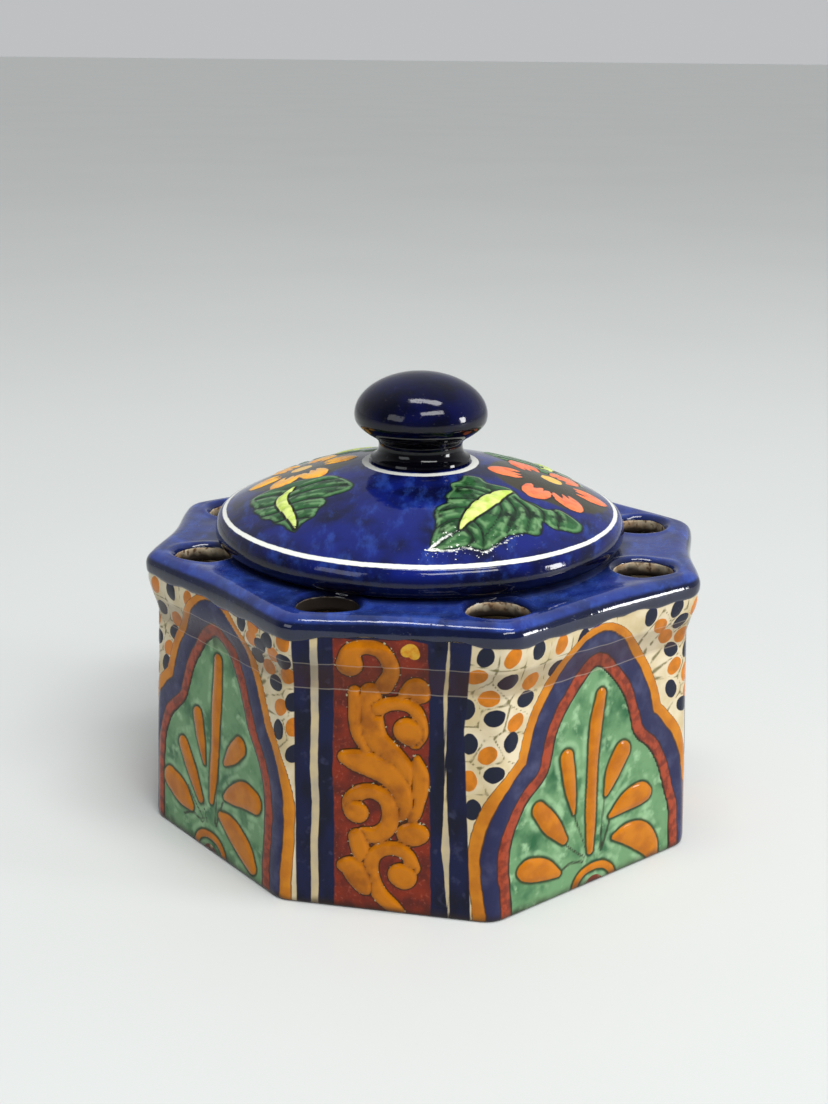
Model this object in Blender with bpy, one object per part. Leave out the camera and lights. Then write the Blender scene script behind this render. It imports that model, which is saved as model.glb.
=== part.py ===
"""Octagonal glazed earthenware jar with a domed lid and eight tool holes round its mouth.

The jar stands on Z = 0 with its axis on Z. Its front scroll face looks along -Y.
Lengths below are in millimetres; MM turns them into metres where a mesh is made.
The clay pieces that the potter lutes together keep a fine gap, LUTE, between them.
"""

import math

import bpy
from mathutils import Matrix, Vector

MM = 0.001

# Driving sizes of the eight-sided wall: distances from the axis to the flats.
FRONT_APOTHEM = 75.2
SIDE_APOTHEM = 77.6
ARCH_APOTHEM = 73.8
CORNER_RADIUS = 8.0
WALL = 6.0
LUTE = 0.3
# The front and back flats stand askew at the foot and come true at the rim.
FOOT_TWIST_DEG = -5.5

# Heights of the pot, from the foot up.
FOOT_BEVEL = 0.9
WAIST_Z = 64.5
FLARE_HEIGHT = 10.0
SEAM_Z = 77.0
RIM_Z = 81.7
DECK_Z = 81.0
DECK_THICKNESS = 5.0
BASE_THICKNESS = 6.0

# How far the wall leans in at its waist, and how far each face dips in at the rim.
WAIST_INSET = 2.6
RIM_FLARE = 0.4
RIM_DIP = 1.8

# The rim's rounded edge, its crest, and the deck's dish and plug, as distances in from the flats.
RIM_CREST = 3.6
RIM_STEP = 0.6
DISH_MIDDLE = 6.4
DISH_FOOT = 9.5
DISH_DROP = 0.25
PLUG_CLEARANCE = 0.5

# Round mouth, its collar, and the tool holes.
MOUTH_RADIUS = 50.0
COLLAR_RADIUS = 54.6
COLLAR_Z = 81.5
COLLAR_EDGE = 0.2
HOLE_RADIUS = 8.2
HOLE_INSET = 16.6
# Cut by hand, each hole misses its corner by a few degrees; the corners start at +X, +Y.
HOLE_SLIPS_DEG = (0.6, -0.8, 1.0, -0.5, 1.2, 3.1, 1.0, 1.2)

# Lid: a shallow dome of one radius, a rounded rim, a locating flange and a mushroom knob.
LID_SHIFT = -2.3
LID_SEAT_Z = COLLAR_Z + LUTE
DOME_RADIUS = 114.5
DOME_CENTRE_Z = -9.2
DOME_WALL = 6.0
DOME_EDGE_RADIUS = 56.6
RIM_RADIUS = 59.4
RIM_WIDEST_Z = 85.2
RIM_UNDER_RADIUS = 55.6
HOLLOW_RADIUS = 42.6
FLANGE_OUTER = 47.0
FLANGE_INNER = 43.0
FLANGE_BOTTOM_Z = 76.0
KNOB_SEAT_RADIUS = 13.0
KNOB_RADIUS = 19.1
KNOB_MIDDLE_Z = 118.0
KNOB_TOP_Z = 130.5
KNOB_FOOT_RADIUS = 14.6
NECK_RADIUS = 12.1
# The knob's neck and the underside of its head, as radius and height.
KNOB_NECK = [(12.7, 106.8), (NECK_RADIUS, 109.3), (12.6, 111.0)]
KNOB_UNDERSIDE = [(14.0, 112.1), (15.9, 113.3), (17.7, 114.8), (18.8, 116.4)]

# Mesh fineness.
CORNER_STEPS = 4
FACE_STEPS = 5
TURN_STEPS = 56
KNOB_STEPS = 40

FACES = 8


def clear_scene():
    """Removes whatever the scene holds before the jar is made."""
    for thing in list(bpy.data.objects):
        bpy.data.objects.remove(thing)


def glaze(name, colour, roughness):
    """A plain Principled material for one clay piece."""
    material = bpy.data.materials.new(name)
    material.use_nodes = True
    shader = material.node_tree.nodes["Principled BSDF"]
    shader.inputs["Base Color"].default_value = (*colour, 1.0)
    shader.inputs["Roughness"].default_value = roughness
    shader.inputs["Metallic"].default_value = 0.0
    return material


def dome_height(radius, thickness=0.0):
    """Height of the lid's sphere at a distance from the lid's axis."""
    sphere = DOME_RADIUS - thickness
    return DOME_CENTRE_Z + math.sqrt(sphere**2 - radius**2)


def apothem(face):
    """Distance from the axis to a flat; face 0 looks along +X and they go round to +Y."""
    if face % 2:
        return ARCH_APOTHEM
    return SIDE_APOTHEM if face % 4 == 0 else FRONT_APOTHEM


def facing(face, z):
    """Angle of a flat's outward direction at a height."""
    askew = FOOT_TWIST_DEG * (1 - min(z / SEAM_Z, 1)) if face % 4 == 2 else 0.0
    return face * math.tau / FACES + math.radians(askew)


def normal(face, z):
    """Outward direction of a flat at a height."""
    return Vector((math.cos(facing(face, z)), math.sin(facing(face, z))))


def corner_centre(face, inset, z):
    """Where the lines parallel to a flat and the next one, moved in by inset, cross."""
    a, b = normal(face, z), normal(face + 1, z)
    reach_a, reach_b = apothem(face) - inset, apothem(face + 1) - inset
    twist = a.x * b.y - a.y * b.x
    return Vector(((reach_a * b.y - reach_b * a.y) / twist, (reach_b * a.x - reach_a * b.x) / twist))


def outline(offset, z, dip=0.0):
    """Ring of points round the octagon, moved out by offset; dip draws each flat's middle in."""
    radius = max(CORNER_RADIUS + offset, 1.5)
    corners = []
    for face in range(FACES):
        centre = corner_centre(face, radius - offset, z)
        start = facing(face, z)
        end = facing((face + 1) % FACES, z) + (math.tau if face + 1 == FACES else 0.0)
        arc = [start + (end - start) * i / CORNER_STEPS for i in range(CORNER_STEPS + 1)]
        corners.append([centre + radius * Vector((math.cos(a), math.sin(a))) for a in arc])
    ring = []
    for face in range(FACES):
        begin, end = corners[face - 1][-1], corners[face][0]
        for i in range(1, FACE_STEPS):
            share = i / FACE_STEPS
            inward = dip * math.sin(math.pi * share) ** 2
            ring.append(begin.lerp(end, share) - normal(face, z) * inward)
        ring += corners[face]
    return [Vector((p.x, p.y, z)) for p in ring]


def circle_like(ring, radius, z):
    """Circle about the jar's axis whose points lie in the same directions as a ring's."""
    return [Vector((*(radius * p.xy.normalized()), z)) for p in ring]


def make_object(name, vertices, faces, material, smooth_deg=35.0):
    """Turns points in millimetres into a named, smooth-shaded object in metres."""
    mesh = bpy.data.meshes.new(name)
    mesh.from_pydata([v * MM for v in vertices], [], faces)
    mesh.shade_smooth()
    mesh.set_sharp_from_angle(angle=math.radians(smooth_deg))
    mesh.materials.append(material)
    thing = bpy.data.objects.new(name, mesh)
    bpy.context.scene.collection.objects.link(thing)
    return thing


def band_faces(rings, size):
    """Quads between neighbouring rings of equal size."""
    faces = []
    for ring in range(rings - 1):
        low, high = ring * size, (ring + 1) * size
        for i in range(size):
            j = (i + 1) % size
            faces.append((low + i, low + j, high + j, high + i))
    return faces


def tube(name, rings, material):
    """Closed ring-shaped body: its section runs outside up, across, inside down, and back."""
    size = len(rings[0])
    vertices = [v for ring in rings for v in ring]
    faces = band_faces(len(rings), size)
    last = (len(rings) - 1) * size
    faces += [(last + i, last + (i + 1) % size, (i + 1) % size, i) for i in range(size)]
    return make_object(name, vertices, faces, material)


def capped(name, rings, material):
    """Closed solid from rings going up, with a flat face at each end."""
    size = len(rings[0])
    vertices = [v for ring in rings for v in ring]
    faces = band_faces(len(rings), size)
    last = (len(rings) - 1) * size
    faces.append(tuple(reversed(range(size))))
    faces.append(tuple(last + i for i in range(size)))
    return make_object(name, vertices, faces, material)


def circle(radius, z, steps, shift=0.0):
    """Ring of evenly spaced points about an upright axis moved along X by shift."""
    turns = [i * math.tau / steps for i in range(steps)]
    return [Vector((shift + radius * math.cos(t), radius * math.sin(t), z)) for t in turns]


def quarter(centre, radii, start_deg, end_deg, steps):
    """Points (radius, z) along an elliptical arc of a turned profile."""
    angles = [math.radians(start_deg + (end_deg - start_deg) * i / steps) for i in range(steps + 1)]
    return [(centre[0] + radii[0] * math.cos(a), centre[1] + radii[1] * math.sin(a)) for a in angles]


def turned(profile, steps):
    """Rings of a profile of (radius, z) about the lid's axis."""
    return [circle(radius, z, steps, LID_SHIFT) for radius, z in profile]


def outer_wall_profile():
    """Offset and height up the wall's outside: straight lean in to the waist, then a flare."""
    flare = [
        (-WAIST_INSET * (1 + math.cos(math.pi * i / 5)) / 2, WAIST_Z + FLARE_HEIGHT * i / 5)
        for i in range(1, 6)
    ]
    foot = [(-0.8 * FOOT_BEVEL, 0.0), (-0.25 * FOOT_BEVEL, 0.35 * FOOT_BEVEL), (0.0, FOOT_BEVEL)]
    straight = [(-WAIST_INSET * share, WAIST_Z * share) for share in (0.34, 0.67, 1.0)]
    return [*foot, *straight, *flare, (RIM_FLARE, SEAM_Z)]


def rim_dip(z):
    """The flats are straight up to the waist and dip in more and more above it."""
    return RIM_DIP * max(0.0, (z - WAIST_Z) / (RIM_Z - WAIST_Z))


def make_body_wall(clay):
    """Eight-sided wall, open at both ends, with its waist below the flared rim."""
    outside = [outline(offset, z, rim_dip(z)) for offset, z in outer_wall_profile()]
    inside_heights = [(-WALL, SEAM_Z), (-WALL - WAIST_INSET, WAIST_Z), (-WALL, 0.0)]
    inside = [outline(offset, z, rim_dip(z)) for offset, z in inside_heights]
    return tube("body_wall", outside + inside, clay)


def make_base_slab(clay):
    """Flat floor of the jar, inside the wall and level with its foot."""
    inset = -WALL - LUTE
    lean = WAIST_INSET * BASE_THICKNESS / WAIST_Z
    return capped("base_slab", [outline(inset, 0.0), outline(inset - lean, BASE_THICKNESS)], clay)


def make_hole_cutter(index):
    """Upright cutter for one tool hole, set in from its corner along the corner's radius."""
    corner = corner_centre(index, 0.0, SEAM_Z)
    place = corner * (1 - HOLE_INSET / corner.length)
    place.rotate(Matrix.Rotation(math.radians(HOLE_SLIPS_DEG[index]), 2))
    low, high = DECK_Z - 3 * DECK_THICKNESS, DECK_Z + 3 * DECK_THICKNESS
    rings = []
    for z in (low, high):
        ring = circle(HOLE_RADIUS, z, 28)
        rings.append([point + Vector((place.x, place.y, 0.0)) for point in ring])
    cutter = capped(f"hole_cutter_{index}", rings, bpy.data.materials["deck_glaze"])
    cutter.hide_render = True
    cutter.display_type = "WIRE"
    return cutter


def make_top_deck(material):
    """Dished top with a rounded rim, a round mouth with a low collar, and eight tool holes."""
    seat = SEAM_Z + LUTE
    under = DECK_Z - DECK_THICKNESS
    edge = seat + RIM_STEP
    rim = quarter((-RIM_CREST, edge), (RIM_CREST + RIM_FLARE, RIM_Z - edge), 0.0, 90.0, 5)
    rings = [outline(RIM_FLARE, seat, rim_dip(seat))]
    rings += [outline(offset, z, rim_dip(z)) for offset, z in rim]
    rings += [outline(-DISH_MIDDLE, RIM_Z - DISH_DROP, RIM_DIP), outline(-DISH_FOOT, DECK_Z, RIM_DIP / 2)]
    guide = outline(-DISH_FOOT, DECK_Z)
    rings += [
        circle_like(guide, COLLAR_RADIUS + COLLAR_EDGE, DECK_Z),
        circle_like(guide, COLLAR_RADIUS, COLLAR_Z - COLLAR_EDGE),
        circle_like(guide, COLLAR_RADIUS - COLLAR_EDGE, COLLAR_Z),
        circle_like(guide, MOUTH_RADIUS + COLLAR_EDGE, COLLAR_Z),
        circle_like(guide, MOUTH_RADIUS, COLLAR_Z - COLLAR_EDGE),
        circle_like(guide, MOUTH_RADIUS, under),
        outline(-WALL - LUTE - WAIST_INSET, under),
        outline(-WALL - LUTE - PLUG_CLEARANCE, seat, rim_dip(seat)),
    ]
    deck = tube("top_deck", rings, material)
    for index in range(FACES):
        cut = deck.modifiers.new(f"hole_{index}", "BOOLEAN")
        cut.operation = "DIFFERENCE"
        cut.object = make_hole_cutter(index)
    return deck


def make_lid_dome(material):
    """Hollow lid: flat seat under a rounded rim, a shallow dome above, and a flat knob seat."""
    bead_radii = (RIM_RADIUS - RIM_UNDER_RADIUS, RIM_WIDEST_Z - LID_SEAT_Z)
    bead = quarter((RIM_UNDER_RADIUS, RIM_WIDEST_Z), bead_radii, -90, 0, 5)
    shoulder_radii = (RIM_RADIUS - DOME_EDGE_RADIUS, dome_height(DOME_EDGE_RADIUS) - RIM_WIDEST_Z)
    shoulder = quarter((DOME_EDGE_RADIUS, RIM_WIDEST_Z), shoulder_radii, 0, 90, 4)
    span = DOME_EDGE_RADIUS - KNOB_SEAT_RADIUS
    radii = [DOME_EDGE_RADIUS - span * i / 6 for i in range(1, 7)]
    outer = bead + shoulder[1:] + [(r, dome_height(r)) for r in radii]
    inner_radii = (10.0, 22.0, 33.0, HOLLOW_RADIUS - 1.5)
    inner = [(r, dome_height(r, DOME_WALL)) for r in inner_radii]
    mouth = [(HOLLOW_RADIUS, dome_height(HOLLOW_RADIUS, DOME_WALL) - 2.0), (HOLLOW_RADIUS, LID_SEAT_Z)]
    return capped("lid_dome", turned(inner + mouth + outer, TURN_STEPS), material)


def make_lid_flange(clay):
    """Plain ring under the lid that drops into the mouth and keeps the lid from sliding off."""
    top = LID_SEAT_Z - LUTE
    section = [
        (FLANGE_INNER + 0.8, FLANGE_BOTTOM_Z),
        (FLANGE_OUTER - 0.8, FLANGE_BOTTOM_Z),
        (FLANGE_OUTER, FLANGE_BOTTOM_Z + 0.8),
        (FLANGE_OUTER, top),
        (FLANGE_INNER, top),
        (FLANGE_INNER, FLANGE_BOTTOM_Z + 0.8),
    ]
    return tube("lid_flange", turned(section, TURN_STEPS), clay)


def make_lid_knob(material):
    """Mushroom knob: a flared foot, a waisted neck and a squat rounded head."""
    foot_z = dome_height(KNOB_SEAT_RADIUS) + LUTE
    foot = [
        (KNOB_SEAT_RADIUS, foot_z),
        (KNOB_FOOT_RADIUS, foot_z + 0.5),
        (KNOB_FOOT_RADIUS - 0.3, foot_z + 1.2),
    ]
    head = quarter((0.0, KNOB_MIDDLE_Z), (KNOB_RADIUS, KNOB_TOP_Z - KNOB_MIDDLE_Z), 0, 82, 7)
    return capped("lid_knob", turned(foot + KNOB_NECK + KNOB_UNDERSIDE + head, KNOB_STEPS), material)


def build():
    """Makes the six clay pieces of the jar."""
    clear_scene()
    wall_glaze = glaze("wall_glaze", (0.62, 0.42, 0.16), 0.15)
    deck_glaze = glaze("deck_glaze", (0.02, 0.05, 0.3), 0.1)
    lid_glaze = glaze("lid_glaze", (0.01, 0.03, 0.22), 0.08)
    knob_glaze = glaze("knob_glaze", (0.005, 0.008, 0.06), 0.05)
    bare_clay = glaze("bare_clay", (0.55, 0.4, 0.28), 0.85)
    make_body_wall(wall_glaze)
    make_base_slab(bare_clay)
    make_top_deck(deck_glaze)
    make_lid_dome(lid_glaze)
    make_lid_flange(bare_clay)
    make_lid_knob(knob_glaze)


build()
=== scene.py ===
"""The looks of the eight-sided glazed jar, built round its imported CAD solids.

Lengths are in millimetres and heights start at the foot; MM turns them into metres where a
mesh is made. Each painted motif is kept at the mesh's points as a signed distance, negative
inside it, and the glazes turn those distances into paint. The same distances raise the relief.
"""
import math

import bpy
import numpy as np
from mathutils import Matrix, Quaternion, Vector, noise


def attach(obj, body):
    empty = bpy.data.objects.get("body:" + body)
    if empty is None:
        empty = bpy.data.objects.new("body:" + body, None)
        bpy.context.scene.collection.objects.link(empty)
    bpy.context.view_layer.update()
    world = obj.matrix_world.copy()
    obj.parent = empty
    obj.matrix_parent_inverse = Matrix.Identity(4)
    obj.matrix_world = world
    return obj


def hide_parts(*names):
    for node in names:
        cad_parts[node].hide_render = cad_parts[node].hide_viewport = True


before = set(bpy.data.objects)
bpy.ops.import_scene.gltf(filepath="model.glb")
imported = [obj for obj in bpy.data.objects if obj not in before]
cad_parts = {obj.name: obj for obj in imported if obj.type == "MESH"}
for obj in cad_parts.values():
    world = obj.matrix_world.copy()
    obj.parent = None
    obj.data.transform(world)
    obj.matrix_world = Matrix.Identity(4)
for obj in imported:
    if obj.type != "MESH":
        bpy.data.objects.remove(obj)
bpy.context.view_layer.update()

MM = 0.001
FAR = 99.0

# The pot's driving sizes, as in the CAD model.
FACES = 8
FRONT_APOTHEM = 75.2
SIDE_APOTHEM = 77.6
ARCH_APOTHEM = 73.8
CORNER_RADIUS = 8.0
WALL = 6.0
FOOT_TWIST_DEG = -5.5
FOOT_BEVEL = 0.9
WAIST_Z = 64.5
COVE_Z = 62.5
COVE_HEIGHT = 12.5
SEAM_Z = 77.0
SEAT_Z = 77.3
RIM_Z = 81.7
DECK_Z = 81.0
DECK_UNDER_Z = 76.0
BASE_THICKNESS = 6.0
WAIST_INSET = 2.6
RIM_FLARE = 0.4
WALL_FLARE = 0.2
# The bare wall stands in by this much, which leaves room for the raised paint.
PAINT_ROOM = 0.2
RIM_CREST = 3.6
RIM_DIP = 1.8
# The rim's rounding starts at this height, and the deck's dish is this wide.
RIM_FOOT_Z = SEAT_Z + 0.9
DISH_WIDTH = 6.4
# How far the deck's plug stands in from the pot's outside.
PLUG_INSET = WALL + 0.9
MOUTH_RADIUS = 50.0
COLLAR_RADIUS = 54.6
COLLAR_FOOT = COLLAR_RADIUS + 0.8
COLLAR_Z = 81.5
HOLE_RADIUS = 8.2
HOLE_INSET = 16.6
HOLE_SLIPS_DEG = (0.6, -0.8, 1.0, -0.5, 1.2, 3.1, 1.0, 1.2)
# The tool hole whose inside is painted dark as the lid's shadow, and by how much of the hole's depth.
SHADOWED_HOLE = 5
HOLE_SHADOW = 0.55

# The lid's driving sizes, as in the CAD model.
LID_SHIFT = -2.3
LID_SEAT_Z = 81.8
DOME_RADIUS = 114.5
DOME_CENTRE_Z = -9.2
DOME_WALL = 6.0
DOME_EDGE_RADIUS = 56.6
BEAD_RADIUS = 59.4
BEAD_Z = 85.2
BEAD_UNDER_RADIUS = 55.6
HOLLOW_RADIUS = 42.6
FLANGE_OUTER = 47.0
FLANGE_INNER = 43.0
FLANGE_BOTTOM_Z = 76.0
KNOB_SEAT_RADIUS = 13.0
KNOB_RADIUS = 19.1
KNOB_MIDDLE_Z = 118.0
KNOB_TOP_Z = 130.2
KNOB_FOOT_RADIUS = 14.6
NECK_RADIUS = 12.1
# The knob's neck and the underside of its head, as radius and height.
KNOB_NECK = [(13.4, 106.2), (12.6, 107.2), (12.2, 108.3), (NECK_RADIUS, 109.3), (12.2, 110.3)]
KNOB_UNDERSIDE = [(12.6, 111), (14, 112.1), (15.9, 113.3), (17.7, 114.8), (18.8, 116.4)]

# Mesh fineness: the painted wall is dense enough to carry the brushwork in its points.
FLAT_STEPS = 84
CORNER_STEPS = 10
WALL_ROWS = 106
WALL_INSIDE_ROWS = 12
DECK_STEPS = {"flat_steps": 28, "corner_steps": 8}
BASE_STEPS = {"flat_steps": 24, "corner_steps": 6}
SECTOR_STEPS = 12
LID_STEPS = 560
LID_ROWS = 66
FLANGE_STEPS = 180
KNOB_STEPS = 128
SMOOTH_DEG = 50.0
WELD_GAP = 0.02

# Camera: where it looks, from which side and how high, how far off, and its lens.
LOOK_AT = (-3.88, -0.41, 76.6)
CAMERA_AZIMUTH = 6.04
CAMERA_ELEVATION = 17.58
CAMERA_ROLL = 0.50
CAMERA_DISTANCE = 474.1
LENS_MM = 52.51

NARROW_FACE = 5
# Heights of the two faint painted highlight lines that edge the cove under the rim.
CREASES = (61.8, 69.0)
# Mean height of the lower edge of the rim's blue glaze.
DRIP_Z = 76.1

# Where painted shade darkens the cobalt: on the rim's side, under the lid's edge and under the knob's
# head, as heights, and beside the lid, as distances from the axis. It is plain at the first value.
RIM_SHADE = (80.8, 79.9)
LID_SHADE = (89.4, 85.6)
KNOB_SHADE = (121.0, 116.0)
MOUTH_SHADE = (62.0, 55.0)

# Brightness of the surroundings on the camera's side and behind the jar.
WORLD_NEAR = 0.16
WORLD_FAR = 0.7
WORLD_HORIZON = 0.77
WORLD_ZENITH = 0.6
SUN_STRENGTH = 1.85
SUN_WAY = (-0.55, 0.8, -1.15)
SUN_SPREAD_DEG = 50

# How far the motif on each face is off the face's middle: scrolls and arches in turn.
MOTIF_SLIPS = (0.6, 1.2, 0.4, -0.8, -0.8, 0, -4.4, -0.5)

# Edges of the paint on a scroll face, to the right of the motif's middle. Where an edge wanders,
# it is a pair of heights and distances.
SCROLL_LEFT = -22.6
SCROLL_RIGHT = ((0, 3, 28, 53, 76), (24.6, 24.4, 22.9, 21.5, 23.2))
PANEL_LEFT = -12.3
PANEL_RIGHT = ((0, 76), (13.8, 11.9))
PANEL_TOP_Z = 76.6
LEFT_STRIPE = ((0, 20, 30), (-17.6, -17.5, -17.1))
RIGHT_STRIPE = ((0, 6, 20, 46, 62, 76), (18.9, 18.3, 17.4, 16.8, 16.5, 17.5))
LEFT_STRIPE_HALF = 1.0
RIGHT_STRIPE_HALF = (
    (0, 6, 14, 20, 28, 40, 46, 55, 64, 76),
    (0.2, 0.4, 0.7, 1.1, 0.6, 0.2, 0.15, 0.4, 0.55, 0.3),
)

# The arch's edge from the foot to the apex, on its right and then down on its left side.
ARCH_EDGE = [
    (30, -9), (30, 6), (29.2, 14), (27.2, 20), (25.6, 25.6), (23, 31), (19.4, 35.4), (16.6, 37.7),
    (14.6, 40.6), (13.4, 45), (11.6, 50), (9, 54.6), (5.4, 59), (0.6, 62.8), (-3.4, 60.4), (-7.5, 56.4),
    (-11.1, 52.2), (-13.9, 47.6), (-15.5, 42), (-16.8, 37.8), (-19, 35.2), (-23.2, 32), (-26.8, 27.8),
    (-29.4, 22.5), (-30.6, 17), (-30.4, 10), (-29.8, 3), (-29.6, -9),
]
NARROW_ARCH_EDGE = [
    (20, -9), (20.2, 8), (20.7, 16), (20.8, 24.7), (20, 30.4), (18.2, 35.4), (15.2, 40.2), (13, 43.4),
    (11.2, 47.4), (9, 52.4), (6, 58), (2.6, 62.4), (-2.6, 65.2), (-7.2, 62.8), (-11, 58.2), (-14.8, 52.8),
    (-17.2, 46.4), (-19.4, 41.4), (-23.2, 38), (-27.4, 33.4), (-30, 26), (-31, 16), (-31, 4), (-31, -9),
]
# Widths of the red, navy and orange bands round the arch, at the foot, mid height and the apex.
BAND_HEIGHTS = (0, 40, 62, 76)
BAND_WIDTHS = ((3.8, 3.6, 3.8, 3.8), (4.2, 5.2, 5.2, 7), (3.7, 3.4, 3, 1.8))

# Petals of the arch fan: points (across, up, half width) from the base to the tip.
PETALS = [
    [(-1.1, 10, 1.2), (-0.9, 20, 1.9), (-0.5, 34, 1.9), (0.6, 46, 2.3), (2.4, 54.6, 1.8)],
    [(-7.3, 23, 0.6), (-8.7, 31, 2), (-10.2, 39.9, 2.3)],
    [(4.9, 25, 0.8), (7.6, 31, 2.8), (10.9, 35.8, 3.1)],
    [(-11, 16.3, 1.3), (-15.6, 22, 2.8), (-20.2, 27.8, 2.3)],
    [(6.6, 18, 0.8), (12.4, 20.4, 2.9), (17.6, 21.2, 3.5), (20.4, 20.6, 2.4)],
    [(-13, 7, 1), (-18.4, 9.8, 3.1), (-23.4, 11.4, 3.3), (-25.9, 12, 2.1)],
    [(8, 11.2, 0.9), (13.4, 10.6, 3.1), (18.4, 8.4, 4.1), (22.4, 4.4, 3.3), (23.8, 1, 2.2)],
]
NARROW_PETALS = [
    [(-5.8, 15.6, 1), (-4.8, 24, 1.9), (-3.9, 34, 2), (-3.2, 46, 2.3), (-2.6, 58.6, 1.9)],
    [(-9.4, 26, 0.7), (-11.4, 33, 2.1), (-13, 39.4, 2.4)],
    [(1.2, 29.6, 0.8), (5, 33.6, 2.6), (8.6, 37.2, 2.9)],
    [(-11.6, 14.4, 1.5), (-16.2, 21.6, 2.6), (-20.6, 28, 2.4)],
    [(1.2, 19.4, 0.9), (5, 21.4, 2.6), (11, 23.8, 3.9), (15.8, 23.6, 3.4)],
    [(-16.6, 10.2, 1.6), (-22, 12.8, 4), (-27.6, 14.8, 3.6)],
    [(-0.8, 13, 1.4), (5, 11.2, 3.6), (11, 7.8, 3.8), (15, 4.2, 2.4)],
]
FAN_RING = [
    (-7.2, -1, 1.1), (-6.2, 2.2, 1.1), (-3.4, 4.3, 1.1), (0.4, 4.9, 1.1), (4.2, 4.2, 1.1), (6.9, 2, 1.1),
    (8, -1, 1.1),
]
# Dark brush lines from the fan's foot between the petals.
FAN_LINES = [
    [(-1.5, 8.5), (-6, 19), (-7.6, 24)], [(-3, 8.5), (-8.6, 13), (-11.6, 16)],
    [(-4, 7.6), (-9, 8.6), (-13.4, 6.6)], [(2.6, 9.5), (3.4, 18), (4.4, 25)],
    [(3.2, 9), (5, 13.6), (6.6, 17.6)],
]
NARROW_FAN_SHIFT = -6.4

# Dots beside the arch: (across, up, colour: 0 navy or 1 orange, tilt in degrees).
DOT_HALF_LENGTH = 2.9
DOT_HALF_WIDTH = 2.2
LEFT_DOTS = [
    (-38.4, 73.4, 0, 80), (-31.3, 73.2, 1, 60), (-22.9, 73.6, 0, 90), (-14.6, 73, 1, 80),
    (-6.4, 72.8, 0, 70), (-39.6, 67.6, 1, 10), (-31, 66.2, 0, 15), (-23.6, 64.8, 1, 20),
    (-14.7, 66.2, 0, 20), (-35.8, 61.6, 1, 20), (-25, 60.2, 0, 10), (-41.6, 58.4, 0, 70),
    (-34.4, 56.4, 0, 25), (-28.4, 54.6, 1, 30), (-41, 49.2, 0, 80), (-29.9, 49.6, 0, 70),
    (-36.4, 46.4, 1, 40), (-34.8, 41.2, 0, 20), (-41.4, 39.2, 1, 90), (-40.6, 31.4, 0, 80),
]
RIGHT_DOTS = [
    (18.4, 73.4, 0, 80), (23, 69.6, 1, 140), (28.2, 73.8, 0, 60), (31, 69.4, 0, 25), (36.4, 72.6, 1, 60),
    (26.4, 65.6, 1, 160), (33, 64.6, 1, 20), (29.2, 61, 0, 160), (36.4, 59.8, 0, 60), (30.8, 55.8, 1, 30),
    (29.6, 49.4, 0, 120), (36, 52.8, 1, 80), (34.8, 43.6, 0, 160), (37.4, 47.2, 1, 50),
    (38.4, 66.4, 0, 70),
]
NARROW_RIGHT_DOTS = [
    (12.4, 74.6, 0, 70), (18.4, 75.4, 1, 20), (24.8, 73.2, 0, 30), (16.8, 71.4, 1, 30),
    (20.6, 70.4, 0, 25), (17.8, 66.6, 0, 5), (30, 68.6, 0, 30), (26.4, 69.6, 1, 30), (22.6, 64.8, 1, 15),
    (25.4, 61.2, 0, 5), (30.4, 64.6, 1, 20), (31.6, 74.6, 1, 80), (27.6, 55.2, 1, 40),
    (31.8, 57.6, 0, 60), (26.8, 48.6, 0, 80), (32, 50.6, 1, 70), (32.2, 43.2, 0, 50),
]

# Half width of the thinnest brush lines.
THIN_HALF = 0.15

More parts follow.
